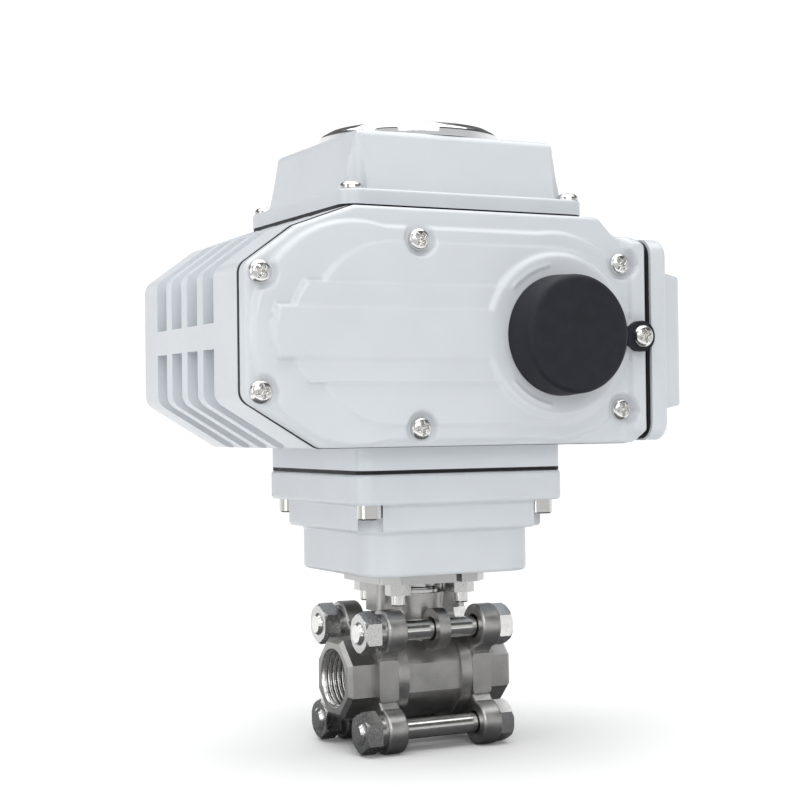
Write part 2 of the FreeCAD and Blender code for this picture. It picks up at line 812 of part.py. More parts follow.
def base_gasket():
    """Black gasket between base flange and housing."""
    piece = Piece("base_gasket")
    width = cell("flange_width") - 1.2
    piece.prism("Z", flange_top, block_bottom, centred(width, width))
    piece.round_along("Z", cell("flange_corner") - 0.6)
    piece.prism("Z", flange_top - 1, block_bottom + 1, circle(0, 0, cell("base_cavity")), cut=True)
    bolt = cell("base_bolt_spacing") / 2
    holes = [circle(x, y, cell("cap_screw_thread") / 2 + 0.3) for x, y, _ in corners(bolt, bolt)]
    piece.prism("Z", flange_top - 1, block_bottom + 1, *holes, cut=True)
    return node(piece)


def base_bolts():
    """Four socket-head screws that come up through the base flange."""
    form = Piece("base_bolt_form")
    head = cell("cap_screw_head") / 2
    tall = cell("cap_screw_head_height")
    form.turned("Z", [(-tall, 0), (-tall, head - 0.5), (0.5 - tall, head), (0, head),
                      (0, cell("cap_screw_thread") / 2),
                      (cell("flange_thickness") + gasket + 7, cell("cap_screw_thread") / 2),
                      (cell("flange_thickness") + gasket + 7, 0)])
    form.prism("Z", -tall - 1, 2.6 - tall, regular(4.0, 6), cut=True)
    bolt = cell("base_bolt_spacing") / 2
    group("base_bolts", form, corners(bolt, bolt, flange_bottom))


# ---- main housing -------------------------------------------------------------------------------
end_high = drive_height + cell("end_flat") / 2
end_low = drive_height - cell("end_flat") / 2
roof_left = cell("lid_centre_x") - cell("lid_length") / 2
roof_right = cell("lid_centre_x") + cell("lid_length") / 2
end_wall = cell("end_wall")
wall = cell("wall")
compartment = right - 13.2
partition = compartment - 3.0


def housing_outline(shrink=0):
    """The casting's outline seen from the front, drawn in by shrink all round."""
    run = cell("housing_left") - shrink
    high = cell("shoulder_height") - shrink
    return [(-run, end_low + as_size(shrink) * 0.4), (-run, end_high - as_size(shrink) * 0.4),
            (-run + 18.5, high - 0.8), (roof_left + shrink, roof - shrink),
            (roof_right - shrink, roof - shrink), (roof_right + 6.5 - shrink, high),
            (right - shrink, high), (right - shrink, floor + shrink),
            (-run + 26.5, floor + shrink)]


def screw_spots():
    """The six cover screws, as places across and up the front of the housing."""
    spots = []
    for name, side in (("outer", -1), ("middle", -1), ("right", 1)):
        for rise in (-1, 1):
            spots.append((cell(name + "_screw_x") * side,
                          drive_height + cell(name + "_screw_rise") * rise))
    return spots


def groove_outlines():
    """The region outside a shallow copy of the left end, above and below the plain band."""
    deep = cell("groove_depth")
    band = cell("band_height") / 2
    run = cell("housing_left")
    high = cell("shoulder_height") - 0.8
    upper = [(-run - 2, drive_height + band), (-run + deep, drive_height + band),
             (-run + deep, end_high - deep / 2), (-run + 18.5 + deep, high - deep / 2),
             (roof_left + deep * 0.6, roof - deep * 0.75), (roof_left + deep * 0.6, roof + 4),
             (-run - 2, roof + 4)]
    lower = [(-run - 2, drive_height - band), (-run - 2, floor - 4), (-run + 30, floor - 4),
             (-run + 26.5 + deep * 0.4, floor + deep * 0.6), (-run + deep, end_low + deep / 2),
             (-run + deep, drive_height - band)]
    return polygon(upper), polygon(lower)


def main_housing():
    """Finned gear and motor casing, open at the front, the top, the right and the foot."""
    piece = Piece("main_housing")
    piece.prism("Y", front, back, polygon(housing_outline()))
    piece.round_along("Y", cell("edge_round"), None, None)
    piece.soften("Fillet", 3.0, lies_at("Y", back))
    foot = cell("flange_width") - 0.8
    piece.prism("Z", block_bottom, floor + wall, centred(foot, foot))
    piece.round_along("Z", cell("flange_corner"), block_bottom, floor)
    seat_width = cell("lid_length")
    seat_depth = cell("lid_depth")
    lid_x = cell("lid_centre_x")
    piece.prism("Z", roof - 6, roof, centred(seat_width, seat_depth, lid_x))
    for outline in groove_outlines():
        piece.prism("Y", cell("groove_first"), cell("groove_first") + cell("groove_width"),
                    outline, cut=True)
        piece.repeat_along("Y", cell("rib_pitch"), 4)
    run = cell("housing_left") - end_wall
    inner_roof = cell("shoulder_height") - 1.4
    piece.prism("Y", front - 1, back - wall,
                polygon([(-run, end_low + 3), (-run, end_high - 3), (-run + 15, inner_roof - 8),
                         (roof_left, inner_roof), (partition, inner_roof),
                         (partition, floor + wall), (-run + 22, floor + wall)]), cut=True)
    piece.prism("Z", inner_roof - 2, roof + 1,
                centred(seat_width - 14, seat_depth - 14, lid_x), cut=True)
    piece.prism("Z", block_bottom - 1, floor + wall + 1,
                circle(0, 0, cell("base_cavity")), cut=True)
    piece.prism("X", compartment, right + 1,
                compartment_mouth(), cut=True)
    piece.prism("X", partition - 1, compartment + 1, circle(back - 18, drive_height + 18, 4), cut=True)
    posts = [circle(across, up, 4.6) for across, up in screw_spots()[2:4]]
    piece.prism("Y", front, front + 10, *posts)
    holes = [circle(across, up, thread_radius) for across, up in screw_spots()]
    piece.prism("Y", front - 1, front + 8, *holes, cut=True)
    boss = circle(worm_x, drive_height, bearing_radius + 3.6)
    piece.prism("Y", rear_bearing - 0.5, back - wall + 1, boss)
    piece.prism("Y", rear_bearing - 1, rear_bearing + cell("bearing_width"),
                circle(worm_x, drive_height, bearing_radius + fit_gap), cut=True)
    piece.prism("Y", rear_bearing, rear_bearing + cell("bearing_width") + 3,
                circle(worm_x, drive_height, bearing_radius - 2), cut=True)
    bolt = cell("base_bolt_spacing") / 2
    holes = [circle(x, y, cell("cap_screw_thread") / 2 - 0.05 + fit_gap * 2)
             for x, y, _ in corners(bolt, bolt)]
    piece.prism("Z", block_bottom - 1, floor + wall - 1, *holes, cut=True)
    holes = [circle(across, deep, thread_radius) for across, deep, _ in lid_screw_spots()]
    piece.prism("Z", roof - 7.6, roof + 1, *holes, cut=True)
    holes = [circle(deep, up, thread_radius) for deep, up in terminal_screw_spots()]
    piece.prism("X", right - 6.6, right + 1, *holes, cut=True)
    holes = [circle(gland_x, drive_height + rise, gland_radius + fit_gap) for rise in GLAND_HEIGHTS]
    piece.prism("Y", back - wall - 6, back + 1, *holes, cut=True)
    ledge = rectangle(-30, deck - 5, 30, deck - run_gap)
    piece.prism("Y", back - wall - 4, back - wall + 1, ledge)
    return node(piece)


def compartment_mouth():
    """The opening of the wiring compartment, the same in housing, gasket and cover."""
    return rectangle(front + 9, floor + 12, back - wall - 5, cell("shoulder_height") - 10)


thread_radius = cell("screw_thread") / 2 + fit_gap
bearing_radius = cell("bearing_outer") / 2
gland_x = right - 6.9
gland_radius = 5.6
gland_bore = 3.6
GLAND_HEIGHTS = (-14, 14)


def lid_screw_spots():
    inset = cell("lid_screw_inset")
    return corners(cell("lid_length") / 2 - inset, cell("lid_depth") / 2 - inset, lid_rim_top,
                   cell("lid_centre_x"))


def terminal_screw_spots():
    """The four terminal-cover screws, as places back and up."""
    inset = cell("terminal_screw_inset")
    spots = []
    for deep in (-cell("housing_front") + inset - 2.2, cell("terminal_back") - inset):
        for up in (cell("terminal_bottom") + inset, cell("terminal_top") - inset):
            spots.append((deep, up))
    return spots


# ---- covers -------------------------------------------------------------------------------------
def front_cover():
    """Gear cover: flange to the housing's outline and a raised pressing over the gear train."""
    piece = Piece("front_gear_cover")
    piece.prism("Y", flange_face, cover_back, polygon(housing_outline(0.3)))
    piece.round_along("Y", cell("edge_round"))
    piece.soften("Fillet", 1.8, lies_at("Y", flange_face))
    motor_side = motor_x
    reach = cell("right_dome")
    band = reach - 0.6
    piece.prism("Y", cover_face, flange_face + 0.5, circle(motor_side, drive_height, cell("left_dome")))
    piece.prism("Y", cover_face, flange_face + 0.5,
                polygon([(motor_side + 14, drive_height - band), (worm_x + 15, drive_height - band),
                         (worm_x + reach * 0.78, drive_height - reach * 0.62),
                         (right - 1.2, drive_height - reach * 0.35),
                         (right - 1.2, drive_height + reach * 0.35),
                         (worm_x + reach * 0.78, drive_height + reach * 0.62),
                         (worm_x + 15, drive_height + band), (motor_side + 14, drive_height + band)]))
    piece.soften("Fillet", 1.6, lies_at("Y", cover_face))
    notches = [circle(across, up, cell("screw_notch")) for across, up in screw_spots()]
    piece.prism("Y", cover_face - 1, flange_face, *notches, cut=True)
    inner = housing_outline(9)
    piece.prism("Y", flange_face + 1.5, cover_back + 1, polygon(inner), cut=True)
    bosses = [circle(across, up, 4.6) for across, up in screw_spots()[2:4]]
    bosses.append(circle(worm_x, drive_height, seal_outer + 3))
    piece.prism("Y", flange_face + 1.0, cover_back, *bosses)
    holes = [circle(across, up, thread_radius + 0.2) for across, up in screw_spots()]
    piece.prism("Y", flange_face - 1, cover_back + 1, *holes, cut=True)
    piece.prism("Y", cover_face - 1, cover_back + 1,
                circle(worm_x, drive_height, cell("worm_shaft") / 2 + 0.35), cut=True)
    piece.prism("Y", cover_back - 4.0, cover_back + 1,
                circle(worm_x, drive_height, seal_outer), cut=True)
    piece.prism("Y", cover_face - 1, flange_face + 1,
                circle(cell("tab_x"), drive_height, thread_radius), cut=True)
    return node(piece)


seal_outer = cell("worm_shaft") / 2 + 4.0


def front_cover_gasket():
    piece = Piece("front_cover_gasket")
    piece.prism("Y", cover_back, front, polygon(housing_outline(0.1)))
    piece.round_along("Y", cell("edge_round"))
    piece.prism("Y", cover_back - 1, front + 1, polygon(housing_outline(9)), cut=True)
    posts = [circle(across, up, 4.6) for across, up in screw_spots()[2:4]]
    piece.prism("Y", cover_back, front, *posts)
    holes = [circle(across, up, thread_radius + 0.3) for across, up in screw_spots()]
    piece.prism("Y", cover_back - 1, front + 1, *holes, cut=True)
    return node(piece)


def pan_screw(label, length):
    """Pan-head screw with a cross recess; its head stands on the plane at zero."""
    form = Piece(label)
    head = cell("screw_head") / 2
    tall = cell("screw_head_height")
    body = cell("screw_thread") / 2
    form.turned("Z", [(-length, 0), (-length, body - 0.5), (0.5 - length, body), (0, body),
                      (0, head), (tall * 0.45, head), (tall * 0.8, head * 0.72), (tall, head * 0.3),
                      (tall, 0)])
    for wide, deep in ((head * 1.15, 0.95), (0.95, head * 1.15)):
        form.prism("Z", tall * 0.45, tall + 1, centred(wide, deep), cut=True)
    return form


FACING_FRONT = Rotation(Vector(1, 0, 0), 90)
FACING_RIGHT = Rotation(Vector(0, 1, 0), 90)


def cover_screws():
    length = cell("cover_flange") + gasket + 6.5
    form = pan_screw("front_cover_screw_form", length)
    group("front_cover_screws", form, [(x, flange_face, z) for x, z in screw_spots()], FACING_FRONT)
    form = pan_screw("top_cover_screw_form", cell("lid_rim") + gasket + 6.0)
    group("top_cover_screws", form, lid_screw_spots())
    form = pan_screw("terminal_screw_form", cell("terminal_flange") + gasket + 6.0)
    group("terminal_cover_screws", form,
          [(terminal_face, deep, up) for deep, up in terminal_screw_spots()], FACING_RIGHT)
    form = pan_screw("cap_tab_screw", cell("tab_thickness") + 5.0)
    form.body.Placement = Placement(Vector(0, 0, 0), FACING_FRONT)
    form.place(cell("tab_x"), cover_face - cell("tab_thickness"), drive_height)
    node(form)


def override_cap():
    """Rubber dust cap over the manual drive, with the strap it swings on."""
    piece = Piece("override_cap")
    radius = cell("cap_radius")
    deep = cell("cap_depth")
    thick = cell("cap_wall")
    piece.turned("Y", [(-deep, 0), (-deep, radius - 2.6), (-deep + 0.7, radius - 1.0),
                       (-deep + 2.4, radius - 0.1), (-1.6, radius), (0, radius - 0.5),
                       (0, radius - thick), (-deep + thick, radius - thick),
                       (-deep + thick, 0)])
    reach = cell("hinge_x") - worm_x
    bead = cell("hinge_radius")
    half = cell("strap_half")
    centre = -free_gap - bead
    piece.prism("Y", centre - bead, centre + bead, rectangle(radius - 1.0, -half, reach, half))
    piece.prism("Z", -half, half, circle(reach, centre, bead))
    piece.place(worm_x, cover_face - run_gap, drive_height)
    return node(piece)


def override_cap_tab():
    """The screwed-down end of the cap's strap."""
    piece = Piece("override_cap_tab")
    thick = cell("tab_thickness")
    start = cell("hinge_x") + cell("hinge_radius") + free_gap
    piece.prism("Y", -thick, 0, circle(0, 0, cell("tab_radius")),)
    piece.prism("Y", -thick, 0, rectangle(start - cell("tab_x"), -3.4, 0, 3.4))
    piece.prism("Y", -thick - 1, 1, circle(0, 0, thread_radius + 0.1), cut=True)
    piece.place(cell("tab_x"), cover_face, drive_height)
    return node(piece)


def top_cover():
    """Tapered lid with a screwed rim, four concave screw pockets and the indicator window."""
    piece = Piece("top_cover")
    length, depth = cell("lid_length"), cell("lid_depth")
    inset = cell("lid_inset")
    corner = cell("lid_corner")
    lid_x = cell("lid_centre_x")
    piece.prism("Z", lid_bottom, lid_rim_top, centred(length, depth, lid_x))
    piece.round_along("Z", corner, lid_bottom, lid_rim_top)
    piece.soften("Fillet", 1.2, lies_at("Z", lid_rim_top))
    piece.prism("Z", lid_rim_top - 0.5, lid_top, centred(length - inset * 2, depth - inset * 2, lid_x),
                taper=-cell("lid_taper"))
    piece.soften("Fillet", 3.0, lies_at("Z", lid_top))
    inset = cell("lid_screw_inset")
    spots = corners(length / 2 - inset, depth / 2 - inset, 0, cell("lid_centre_x"))
    pockets = [circle(across, deep, cell("pocket_radius")) for across, deep, _ in spots]
    piece.prism("Z", lid_rim_top, lid_top + 1, *pockets, cut=True)
    thick = cell("lid_wall")
    piece.prism("Z", lid_bottom - 1, lid_top - 4.0,
                centred(length - inset - thick * 2 - 3, depth - inset - thick * 2 - 3, lid_x), cut=True)
    glass = cell("window_radius")
    piece.prism("Z", lid_top - 5, lid_top + 1, circle(0, 0, glass - 1.5), cut=True)
    piece.prism("Z", lid_top - 1.6, lid_top + 1, circle(0, 0, glass + 2.6), cut=True)
    holes = [circle(across, deep, thread_radius + 0.2) for across, deep, _ in spots]
    piece.prism("Z", lid_bottom - 1, lid_rim_top + 1, *holes, cut=True)
    return node(piece)


def top_cover_gasket():
    piece = Piece("top_cover_gasket")
    length, depth = cell("lid_length") - 0.4, cell("lid_depth") - 0.4
    piece.prism("Z", roof, lid_bottom, centred(length, depth, cell("lid_centre_x")))
    piece.round_along("Z", cell("lid_corner"))
    piece.prism("Z", roof - 1, lid_bottom + 1,
                centred(length - 19, depth - 19, cell("lid_centre_x")), cut=True)
    holes = [circle(x, y, thread_radius + 0.3) for x, y, _ in lid_screw_spots()]
    piece.prism("Z", roof - 1, lid_bottom + 1, *holes, cut=True)
    return node(piece)


def window_set():
    """Chrome bezel, domed sight glass and its seal on the lid."""
    glass = cell("window_radius")
    outer = cell("bezel_radius")
    tall = cell("bezel_height")
    seat = lid_top - 1.6
    ring("sight_glass_seal", seat, seat + 0.6, glass - 1.5, glass + 2.5)
    lens = Piece("sight_glass")
    lens.turned("Z", [(seat + 0.6, 0), (seat + 0.6, glass + 2.4), (lid_top, glass + 2.4),
                      (lid_top, glass), (lid_top + tall * 0.6, glass - 0.3),
                      (lid_top + tall * 0.92, glass * 0.86), (lid_top + tall * 1.08, glass * 0.6),
                      (lid_top + tall * 1.16, glass * 0.3), (lid_top + tall * 1.18, 0)])
    lens.turned("Z", [(seat - 1, 0), (seat - 1, glass - 3.0), (lid_top + tall * 0.4, glass - 3.0),
                      (lid_top + tall * 0.8, glass * 0.6), (lid_top + tall * 0.9, 0)], cut=True)
    node(lens)
    bezel = Piece("bezel_ring")
    bezel.turned("Z", [(lid_top, glass + run_gap), (lid_top, outer), (lid_top + tall * 0.45, outer),
                       (lid_top + tall * 0.85, outer - 1.4), (lid_top + tall, outer - 3.0),
                       (lid_top + tall, glass + 2.0), (lid_top + tall * 0.75, glass + run_gap)])
    node(bezel)


def terminal_cover():
    """Right-hand cover over the wiring compartment."""
    piece = Piece("terminal_cover")
    low, high = cell("terminal_bottom"), cell("terminal_top")
    near, far = -cell("terminal_front"), cell("terminal_back")
    piece.prism("X", terminal_start, terminal_face, rectangle(near, low, far, high))
    piece.round_along("X", 6.5)
    piece.soften("Fillet", 2.2, lies_at("X", terminal_face))
    inset = cell("terminal_block_inset")
    half = cell("terminal_block_height") / 2
    middle = (low + high) / 2
    outer = terminal_face + cell("terminal_raise")
    block = rectangle(near + inset, middle - half - 5, far - inset, middle + half + 5)
    piece.prism("X", terminal_face - 0.5, outer, block, taper=-10)
    piece.soften("Fillet", 3.0, lies_at("X", outer))
    piece.prism("X", terminal_start - 1, terminal_face - 3, compartment_mouth(), cut=True)
    piece.prism("X", terminal_face - 4, outer - 5,
                rectangle(near + inset + 7, middle - half + 4, far - inset - 7, middle + half - 4),
                cut=True)
    holes = [circle(deep, up, thread_radius + 0.2) for deep, up in terminal_screw_spots()]
    piece.prism("X", terminal_start - 1, outer + 1, *holes, cut=True)
    return node(piece)


def terminal_cover_gasket():
    piece = Piece("terminal_cover_gasket")
    low, high = cell("terminal_bottom") + 0.6, cell("terminal_top") - 0.6
    near, far = -cell("terminal_front") + 1.3, cell("terminal_back") - 0.6
    piece.prism("X", right, terminal_start, rectangle(near, low, far, high))
    piece.round_along("X", 6.0)
    piece.prism("X", right - 1, terminal_start + 1, compartment_mouth(), cut=True)
    holes = [circle(deep, up, thread_radius + 0.3) for deep, up in terminal_screw_spots()]
    piece.prism("X", right - 1, terminal_start + 1, *holes, cut=True)
    return node(piece)


# ---- drive --------------------------------------------------------------------------------------
module = cell("gear_module")
face = cell("gear_face")
step = cell("gear_step")
plane_one = front + 1.0
plane_two = plane_one + step
plane_three = plane_two + step
plate_front = plane_three + face + 0.8
plate_back = plate_front + 4.0
rear_bearing = cell("rear_bearing_start")
front_bearing = plate_front + 0.5


def pitch_radius(name):
    return module * TEETH[name] / 2


b_x = worm_x - pitch_radius("worm") - pitch_radius("b_small")
a_x = b_x - pitch_radius("b_large") - pitch_radius("a_small")
motor_x = a_x - pitch_radius("a_large") - pitch_radius("motor")


def spur(piece, start, count, turn=0.0):
    """Add a toothed ring along Y from start; turn is in degrees, positive about +Y reversed."""
    radius = module * count / 2
    root_radius = radius - module * 1.2
    piece.prism("Y", start, start + face, circle(0, 0, root_radius))
    half = module * 0.7854
    direction = Rotation(Vector(0, 0, 1), turn).multVec(Vector(1, 0, 0))
    base = radius - module * 1.6
    tip = radius + module * 0.95
    outline = []
    for along, across in ((base, -1.24), (tip, -0.52), (tip, 0.52), (base, 1.24)):
        wide = half * across
        outline.append((along * direction.x - wide * direction.y,
                        along * direction.y + wide * direction.x))
    piece.prism("Y", start, start + face, polygon(outline))
    piece.repeat_round("Y", count)
    return piece


def gear_train():
    """Motor pinion, two cluster gears on fixed pins and the gear on the worm shaft."""
    pin = cell("pin_diameter") / 2
    names = (("motor", "a_large"), ("a_small", "b_large"), ("b_small", "worm"))
    turns = {}
    for driver, driven in names:
        # A tooth of the driver points at the driven gear, which meets it with a gap.
        turns[driver] = 0.0
        turns[driven] = 180.0 + 180.0 / TEETH[driven]
    pinion = Piece("motor_pinion")
    spur(pinion, plane_one, TEETH["motor"], turns["motor"])
    pinion.prism("Y", plane_one - 0.5, plate_back + 6.0, circle(0, 0, pin * 0.8))
    node(pinion.place(motor_x, 0, drive_height))
    for label, large, small, low, x in (("cluster_gear_a", "a_large", "a_small", plane_one, a_x),
                                        ("cluster_gear_b", "b_large", "b_small", plane_two, b_x)):
        gear = Piece(label)
        spur(gear, low, TEETH[large], turns[large])
        gear.prism("Y", low, low + step, circle(0, 0, pitch_radius(small) - module * 1.3))
        spur(gear, low + step, TEETH[small], turns[small])
        gear.prism("Y", low - 1, low + step * 2, circle(0, 0, pin + run_gap), cut=True)
        node(gear.place(x, 0, drive_height))
    form = Piece("gear_pin_form")
    form.prism("Y", cover_back + 0.3, plate_back, circle(0, 0, pin))
    group("gear_pins", form, [(a_x, as_size(0), drive_height), (b_x, as_size(0), drive_height)])
    gear = Piece("worm_gear")
    spur(gear, plane_three, TEETH["worm"], turns["worm"])
    gear.prism("Y", plane_three - 0.6, plane_three + face, circle(0, 0, cell("worm_shaft") / 2 + 3.5))
    gear.prism("Y", plane_three - 3, plane_three + face + 1,
               circle(0, 0, cell("worm_shaft") / 2 + fit_gap), cut=True)
    node(gear.place(worm_x, 0, drive_height))


def gear_plate():
    """Plate behind the gears: carries the pins, the worm's front bearing and the motor."""
    piece = Piece("gear_plate")
    run = cell("housing_left") - end_wall
    low = drive_height - cell("middle_screw_rise") + 5.4
    piece.prism("Y", plate_front, plate_back,
                rectangle(14 - run, low, partition - 0.3, deck - run_gap))
    piece.round_along("Y", 4.0)
    piece.prism("Y", plate_front, plate_front + 0.5 + cell("bearing_width") + 0.5,
                circle(worm_x, drive_height, bearing_radius + 3))
    piece.prism("Y", plate_front - 1, plate_back + 8,
                circle(worm_x, drive_height, cell("worm_shaft") / 2 + 1.5), cut=True)
    piece.prism("Y", front_bearing, plate_back + 8,
                circle(worm_x, drive_height, bearing_radius + fit_gap), cut=True)
    pin = cell("pin_diameter") / 2
    piece.prism("Y", plate_front - 1, plate_back + 1, circle(a_x, drive_height, pin + fit_gap),
                circle(b_x, drive_height, pin + fit_gap), circle(motor_x, drive_height, 7.0), cut=True)
    return node(piece)


def motor():
    """Capacitor motor: round stator can, end bell and front boss."""
    piece = Piece("motor")
    radius = cell("motor_diameter") / 2
    length = cell("motor_length")
    piece.turned("Y", [(0, 0), (0, radius - 0.6), (0.6, radius), (11, radius), (11, radius - 1.5),
                       (length - 12, radius - 1.5), (length - 12, radius), (length - 1.5, radius),
                       (length, radius - 1.5), (length, 0)])
    piece.prism("Y", -3.4, 0.5, circle(0, 0, 6.9))
    piece.prism("Y", -4, 8, circle(0, 0, cell("pin_diameter") * 0.4 + run_gap), cut=True)
    return node(piece.place(motor_x, plate_back, drive_height))


def worm_shaft():
    """Worm on its shaft, with the hexagon for the hand key at its front end."""
    piece = Piece("worm_shaft")
    radius = cell("worm_shaft") / 2
    half = cell("worm_length") / 2
    modulus = cell("worm_module")
    core = cell("worm_radius") - modulus * 1.2
    tail = rear_bearing + cell("bearing_width")
    piece.turned("Y", [(cover_face + 0.5, 0), (cover_face + 0.5, radius), (-half - 3, radius),
                       (-half, core), (half, core), (half + 3, radius), (tail, radius), (tail, 0)])
    piece.prism("Y", cover_face - 8.0, cover_face + 1, regular(cell("override_hex"), 6))
    pitch = modulus * 3.14159265
    outer = cell("worm_radius") + modulus
    # The thread starts half a turn away from the wheel, so a crest meets the wheel's gap.
    first = pitch * (-WORM_TURNS / 2)
    sketch = piece.sketch("Z", 0, [polygon([(core - 0.2, first - modulus * 0.92),
                                            (outer, first - modulus * 0.30),
                                            (outer, first + modulus * 0.30),
                                            (core - 0.2, first + modulus * 0.92)])])
    thread = piece.add("AdditiveHelix", sketch)
    thread.ReferenceAxis = (sketch, ["V_Axis"])
    thread.Mode = 0
    bind(thread, "Pitch", pitch)
    bind(thread, "Height", pitch * WORM_TURNS)
    return node(piece.place(worm_x, 0, drive_height))


def worm_wheel():
    """Bronze wheel on the output shaft, in mesh with the worm."""
    piece = Piece("worm_wheel")
    modulus = cell("worm_module")
    radius = modulus * WHEEL_TEETH / 2
    half = cell("wheel_face") / 2
    low, high = drive_height - half, drive_height + half
    root_radius = radius - modulus * 1.2
    piece.prism("Z", low, high, circle(0, 0, root_radius))
    outline = []
    direction = Rotation(Vector(0, 0, 1), 180.0 / WHEEL_TEETH).multVec(Vector(1, 0, 0))
    for along, across in ((root_radius - 0.4, -0.86), (radius + modulus * 0.8, -0.30),
                          (radius + modulus * 0.8, 0.30), (root_radius - 0.4, 0.86)):
        wide = modulus * across
        outline.append((along * direction.x - wide * direction.y,
                        along * direction.y + wide * direction.x))
    piece.prism("Z", low, high, polygon(outline))
    piece.repeat_round("Z", WHEEL_TEETH)
    piece.prism("Z", low - 3, high + 3, circle(0, 0, cell("shaft_diameter") / 2 + 4))
    piece.prism("Z", low - 4, high + 4, circle(0, 0, cell("shaft_diameter") / 2 + fit_gap), cut=True)
    return node(piece)


def output_shaft():
    """Output shaft: square socket for the stem at its foot, wheel seat, and cam spindle on top."""
    piece = Piece("output_shaft")
    radius = cell("shaft_diameter") / 2
    upper = cell("upper_shaft") / 2
    low = plate_top + 1.2
    wheel_top = drive_height + cell("wheel_face") / 2 + 3
    tip = lid_top - 9.0
    piece.turned("Z", [(low, 0), (low, journal), (bush_high + run_gap, journal),
                       (bush_high + run_gap, journal + 4), (thrust_collar, journal + 4),
                       (thrust_collar, radius), (wheel_top, radius), (wheel_top, upper),
                       (tip - 6, upper), (tip - 6, upper - 2), (tip, upper - 2), (tip, 0)])
    socket = cell("stem_square") + run_gap * 2
    piece.prism("Z", low - 1, cell("stem_top") + 1.5, centred(socket, socket), cut=True)
    return node(piece)


def bearings():
    """Lower bush of the output shaft, and the worm's two bearings and front seal."""
    ring("output_bush", bush_low, bush_high, journal + run_gap, journal + bush_wall - fit_gap)
    bearing = Piece("worm_bearing_form")
    inner = cell("worm_shaft") / 2 + fit_gap
    wide = cell("bearing_width")
    bearing.turned("Y", [(0, inner), (0, bearing_radius), (wide, bearing_radius), (wide, inner)])
    for start in (-1, wide - 0.8):
        bearing.turned("Y", [(start, inner + 1.6), (start, bearing_radius - 1.6),
                             (start + 1.8, bearing_radius - 1.6), (start + 1.8, inner + 1.6)],
                       cut=True)
    group("worm_bearings", bearing, [(worm_x, front_bearing, drive_height),
                                     (worm_x, rear_bearing, drive_height)])
    seal = Piece("override_shaft_seal")
    shaft = cell("worm_shaft") / 2 + run_gap
    seal.turned("Y", [(-4.0, shaft), (-4.0, seal_outer - fit_gap), (0, seal_outer - fit_gap),
                      (0, shaft + 1.6), (-2.4, shaft + 1.6), (-2.4, shaft)])
    node(seal.place(worm_x, cover_back, drive_height))


# ---- controls -----------------------------------------------------------------------------------
deck = end_high + 1.4
deck_top = deck + 3.0


def control_deck():
    """Plate across the top chamber that carries switches and board."""
    piece = Piece("control_plate")
    half = cell("lid_length") / 2 - 8
    piece.prism("Z", deck, deck_top, rectangle(-half, front + 0.4, half, back - wall - 0.3))
    piece.round_along("Z", 5.0)
    piece.prism("Z", deck - 1, deck_top + 1, circle(0, 0, cell("upper_shaft") / 2 + 0.5), cut=True)
    return node(piece)


def cam(low, turn):
    """Switch cam clamped on the upper shaft: a disc with a raised lobe."""
    piece = Piece("cam_form")
    upper = cell("upper_shaft") / 2
    high = low + 4.0
    piece.prism("Z", low, high, circle(0, 0, upper + 4.5))
    way = Rotation(Vector(0, 0, 1), turn).multVec(Vector(1, 0, 0))
    piece.prism("Z", low, high, circle(way.x * 4.0, way.y * 4.0, upper + 2.2))
    piece.prism("Z", low - 1, high + 1, circle(0, 0, upper + fit_gap), cut=True)
    return piece


def limit_switch(low, start):
    """Microswitch with its roller facing the cam."""
    piece = Piece("limit_switch_form")
    reach = cell("upper_shaft") / 2 + 7.2
    piece.prism("Z", deck_top, low + 6.0, rectangle(reach + 1.5, start, reach + 11.5, start + 10))
    piece.prism("Z", low + 0.8, low + 3.2, rectangle(reach, start + 3, reach + 2.0, start + 7))
    return piece


def together(label, pieces):
    """Like pieces of different shapes that share one node."""
    compound = doc.addObject("Part::Compound", label)
    compound.Label = label
    compound.Links = [piece.body for piece in pieces]
    NODES.append(compound)


def controls():
    control_deck()
    cam_low = deck_top + 3.0
    together("switch_cams", [cam(cam_low, 200.0), cam(cam_low + 5.0, 70.0)])
    together("limit_switches", [limit_switch(cam_low, -17.0), limit_switch(cam_low + 5.0, 7.0)])
    board = Piece("circuit_board")
    board_low = deck_top + 4.0
    board.prism("Z", board_low, board_low + 1.6, rectangle(-36, -27, -17, 27))
    standoffs = [circle(x, y, 2.2) for x in (-33, -20) for y in (-24, 24)]
    board.prism("Z", deck_top, board_low + 0.5, *standoffs)
    parts = ((-34, -18, -24, -8, 9), (-34, -4, -22, 8, 7), (-31, 12, -21, 22, 12))
    for x0, y0, x1, y1, tall in parts:
        board.prism("Z", board_low + 1, board_low + 1.6 + tall, rectangle(x0, y0, x1, y1))
    node(board)
    disc = Piece("indicator_disc")
    tip = lid_top - 9.0
    hub = cell("upper_shaft") / 2 - 2 + fit_gap
    disc_low = tip - 5.5
    disc.prism("Z", disc_low, disc_low + 3.5, circle(0, 0, hub + 4))
    disc.prism("Z", disc_low + 2.0, disc_low + 3.5, circle(0, 0, cell("window_radius") - 5))
    disc.prism("Z", disc_low + 3.0, disc_low + 6.5, centred(34, 6))
    disc.prism("Z", disc_low - 1, disc_low + 5.6, circle(0, 0, hub), cut=True)
    node(disc)
    ring("dial_plate", lid_top - 4.0, lid_top - 2.8, cell("window_radius") - 4.4,
         cell("window_radius") - 1.5 - fit_gap)
    block = Piece("terminal_block")
    low, high = floor + 17, cell("shoulder_height") - 15
    block.prism("X", compartment, compartment + 12, rectangle(-24, low, -8, high))
    ways = [low + (high - low) * ((index + 0.5) / 6) for index in range(6)]
    block.prism("X", compartment + 7, compartment + 13, *[circle(-20, at, 2.2) for at in ways], cut=True)
    block.prism("Y", -9.5, -7, *[circle(compartment + 6, at, 1.8) for at in ways], cut=True)
    node(block)


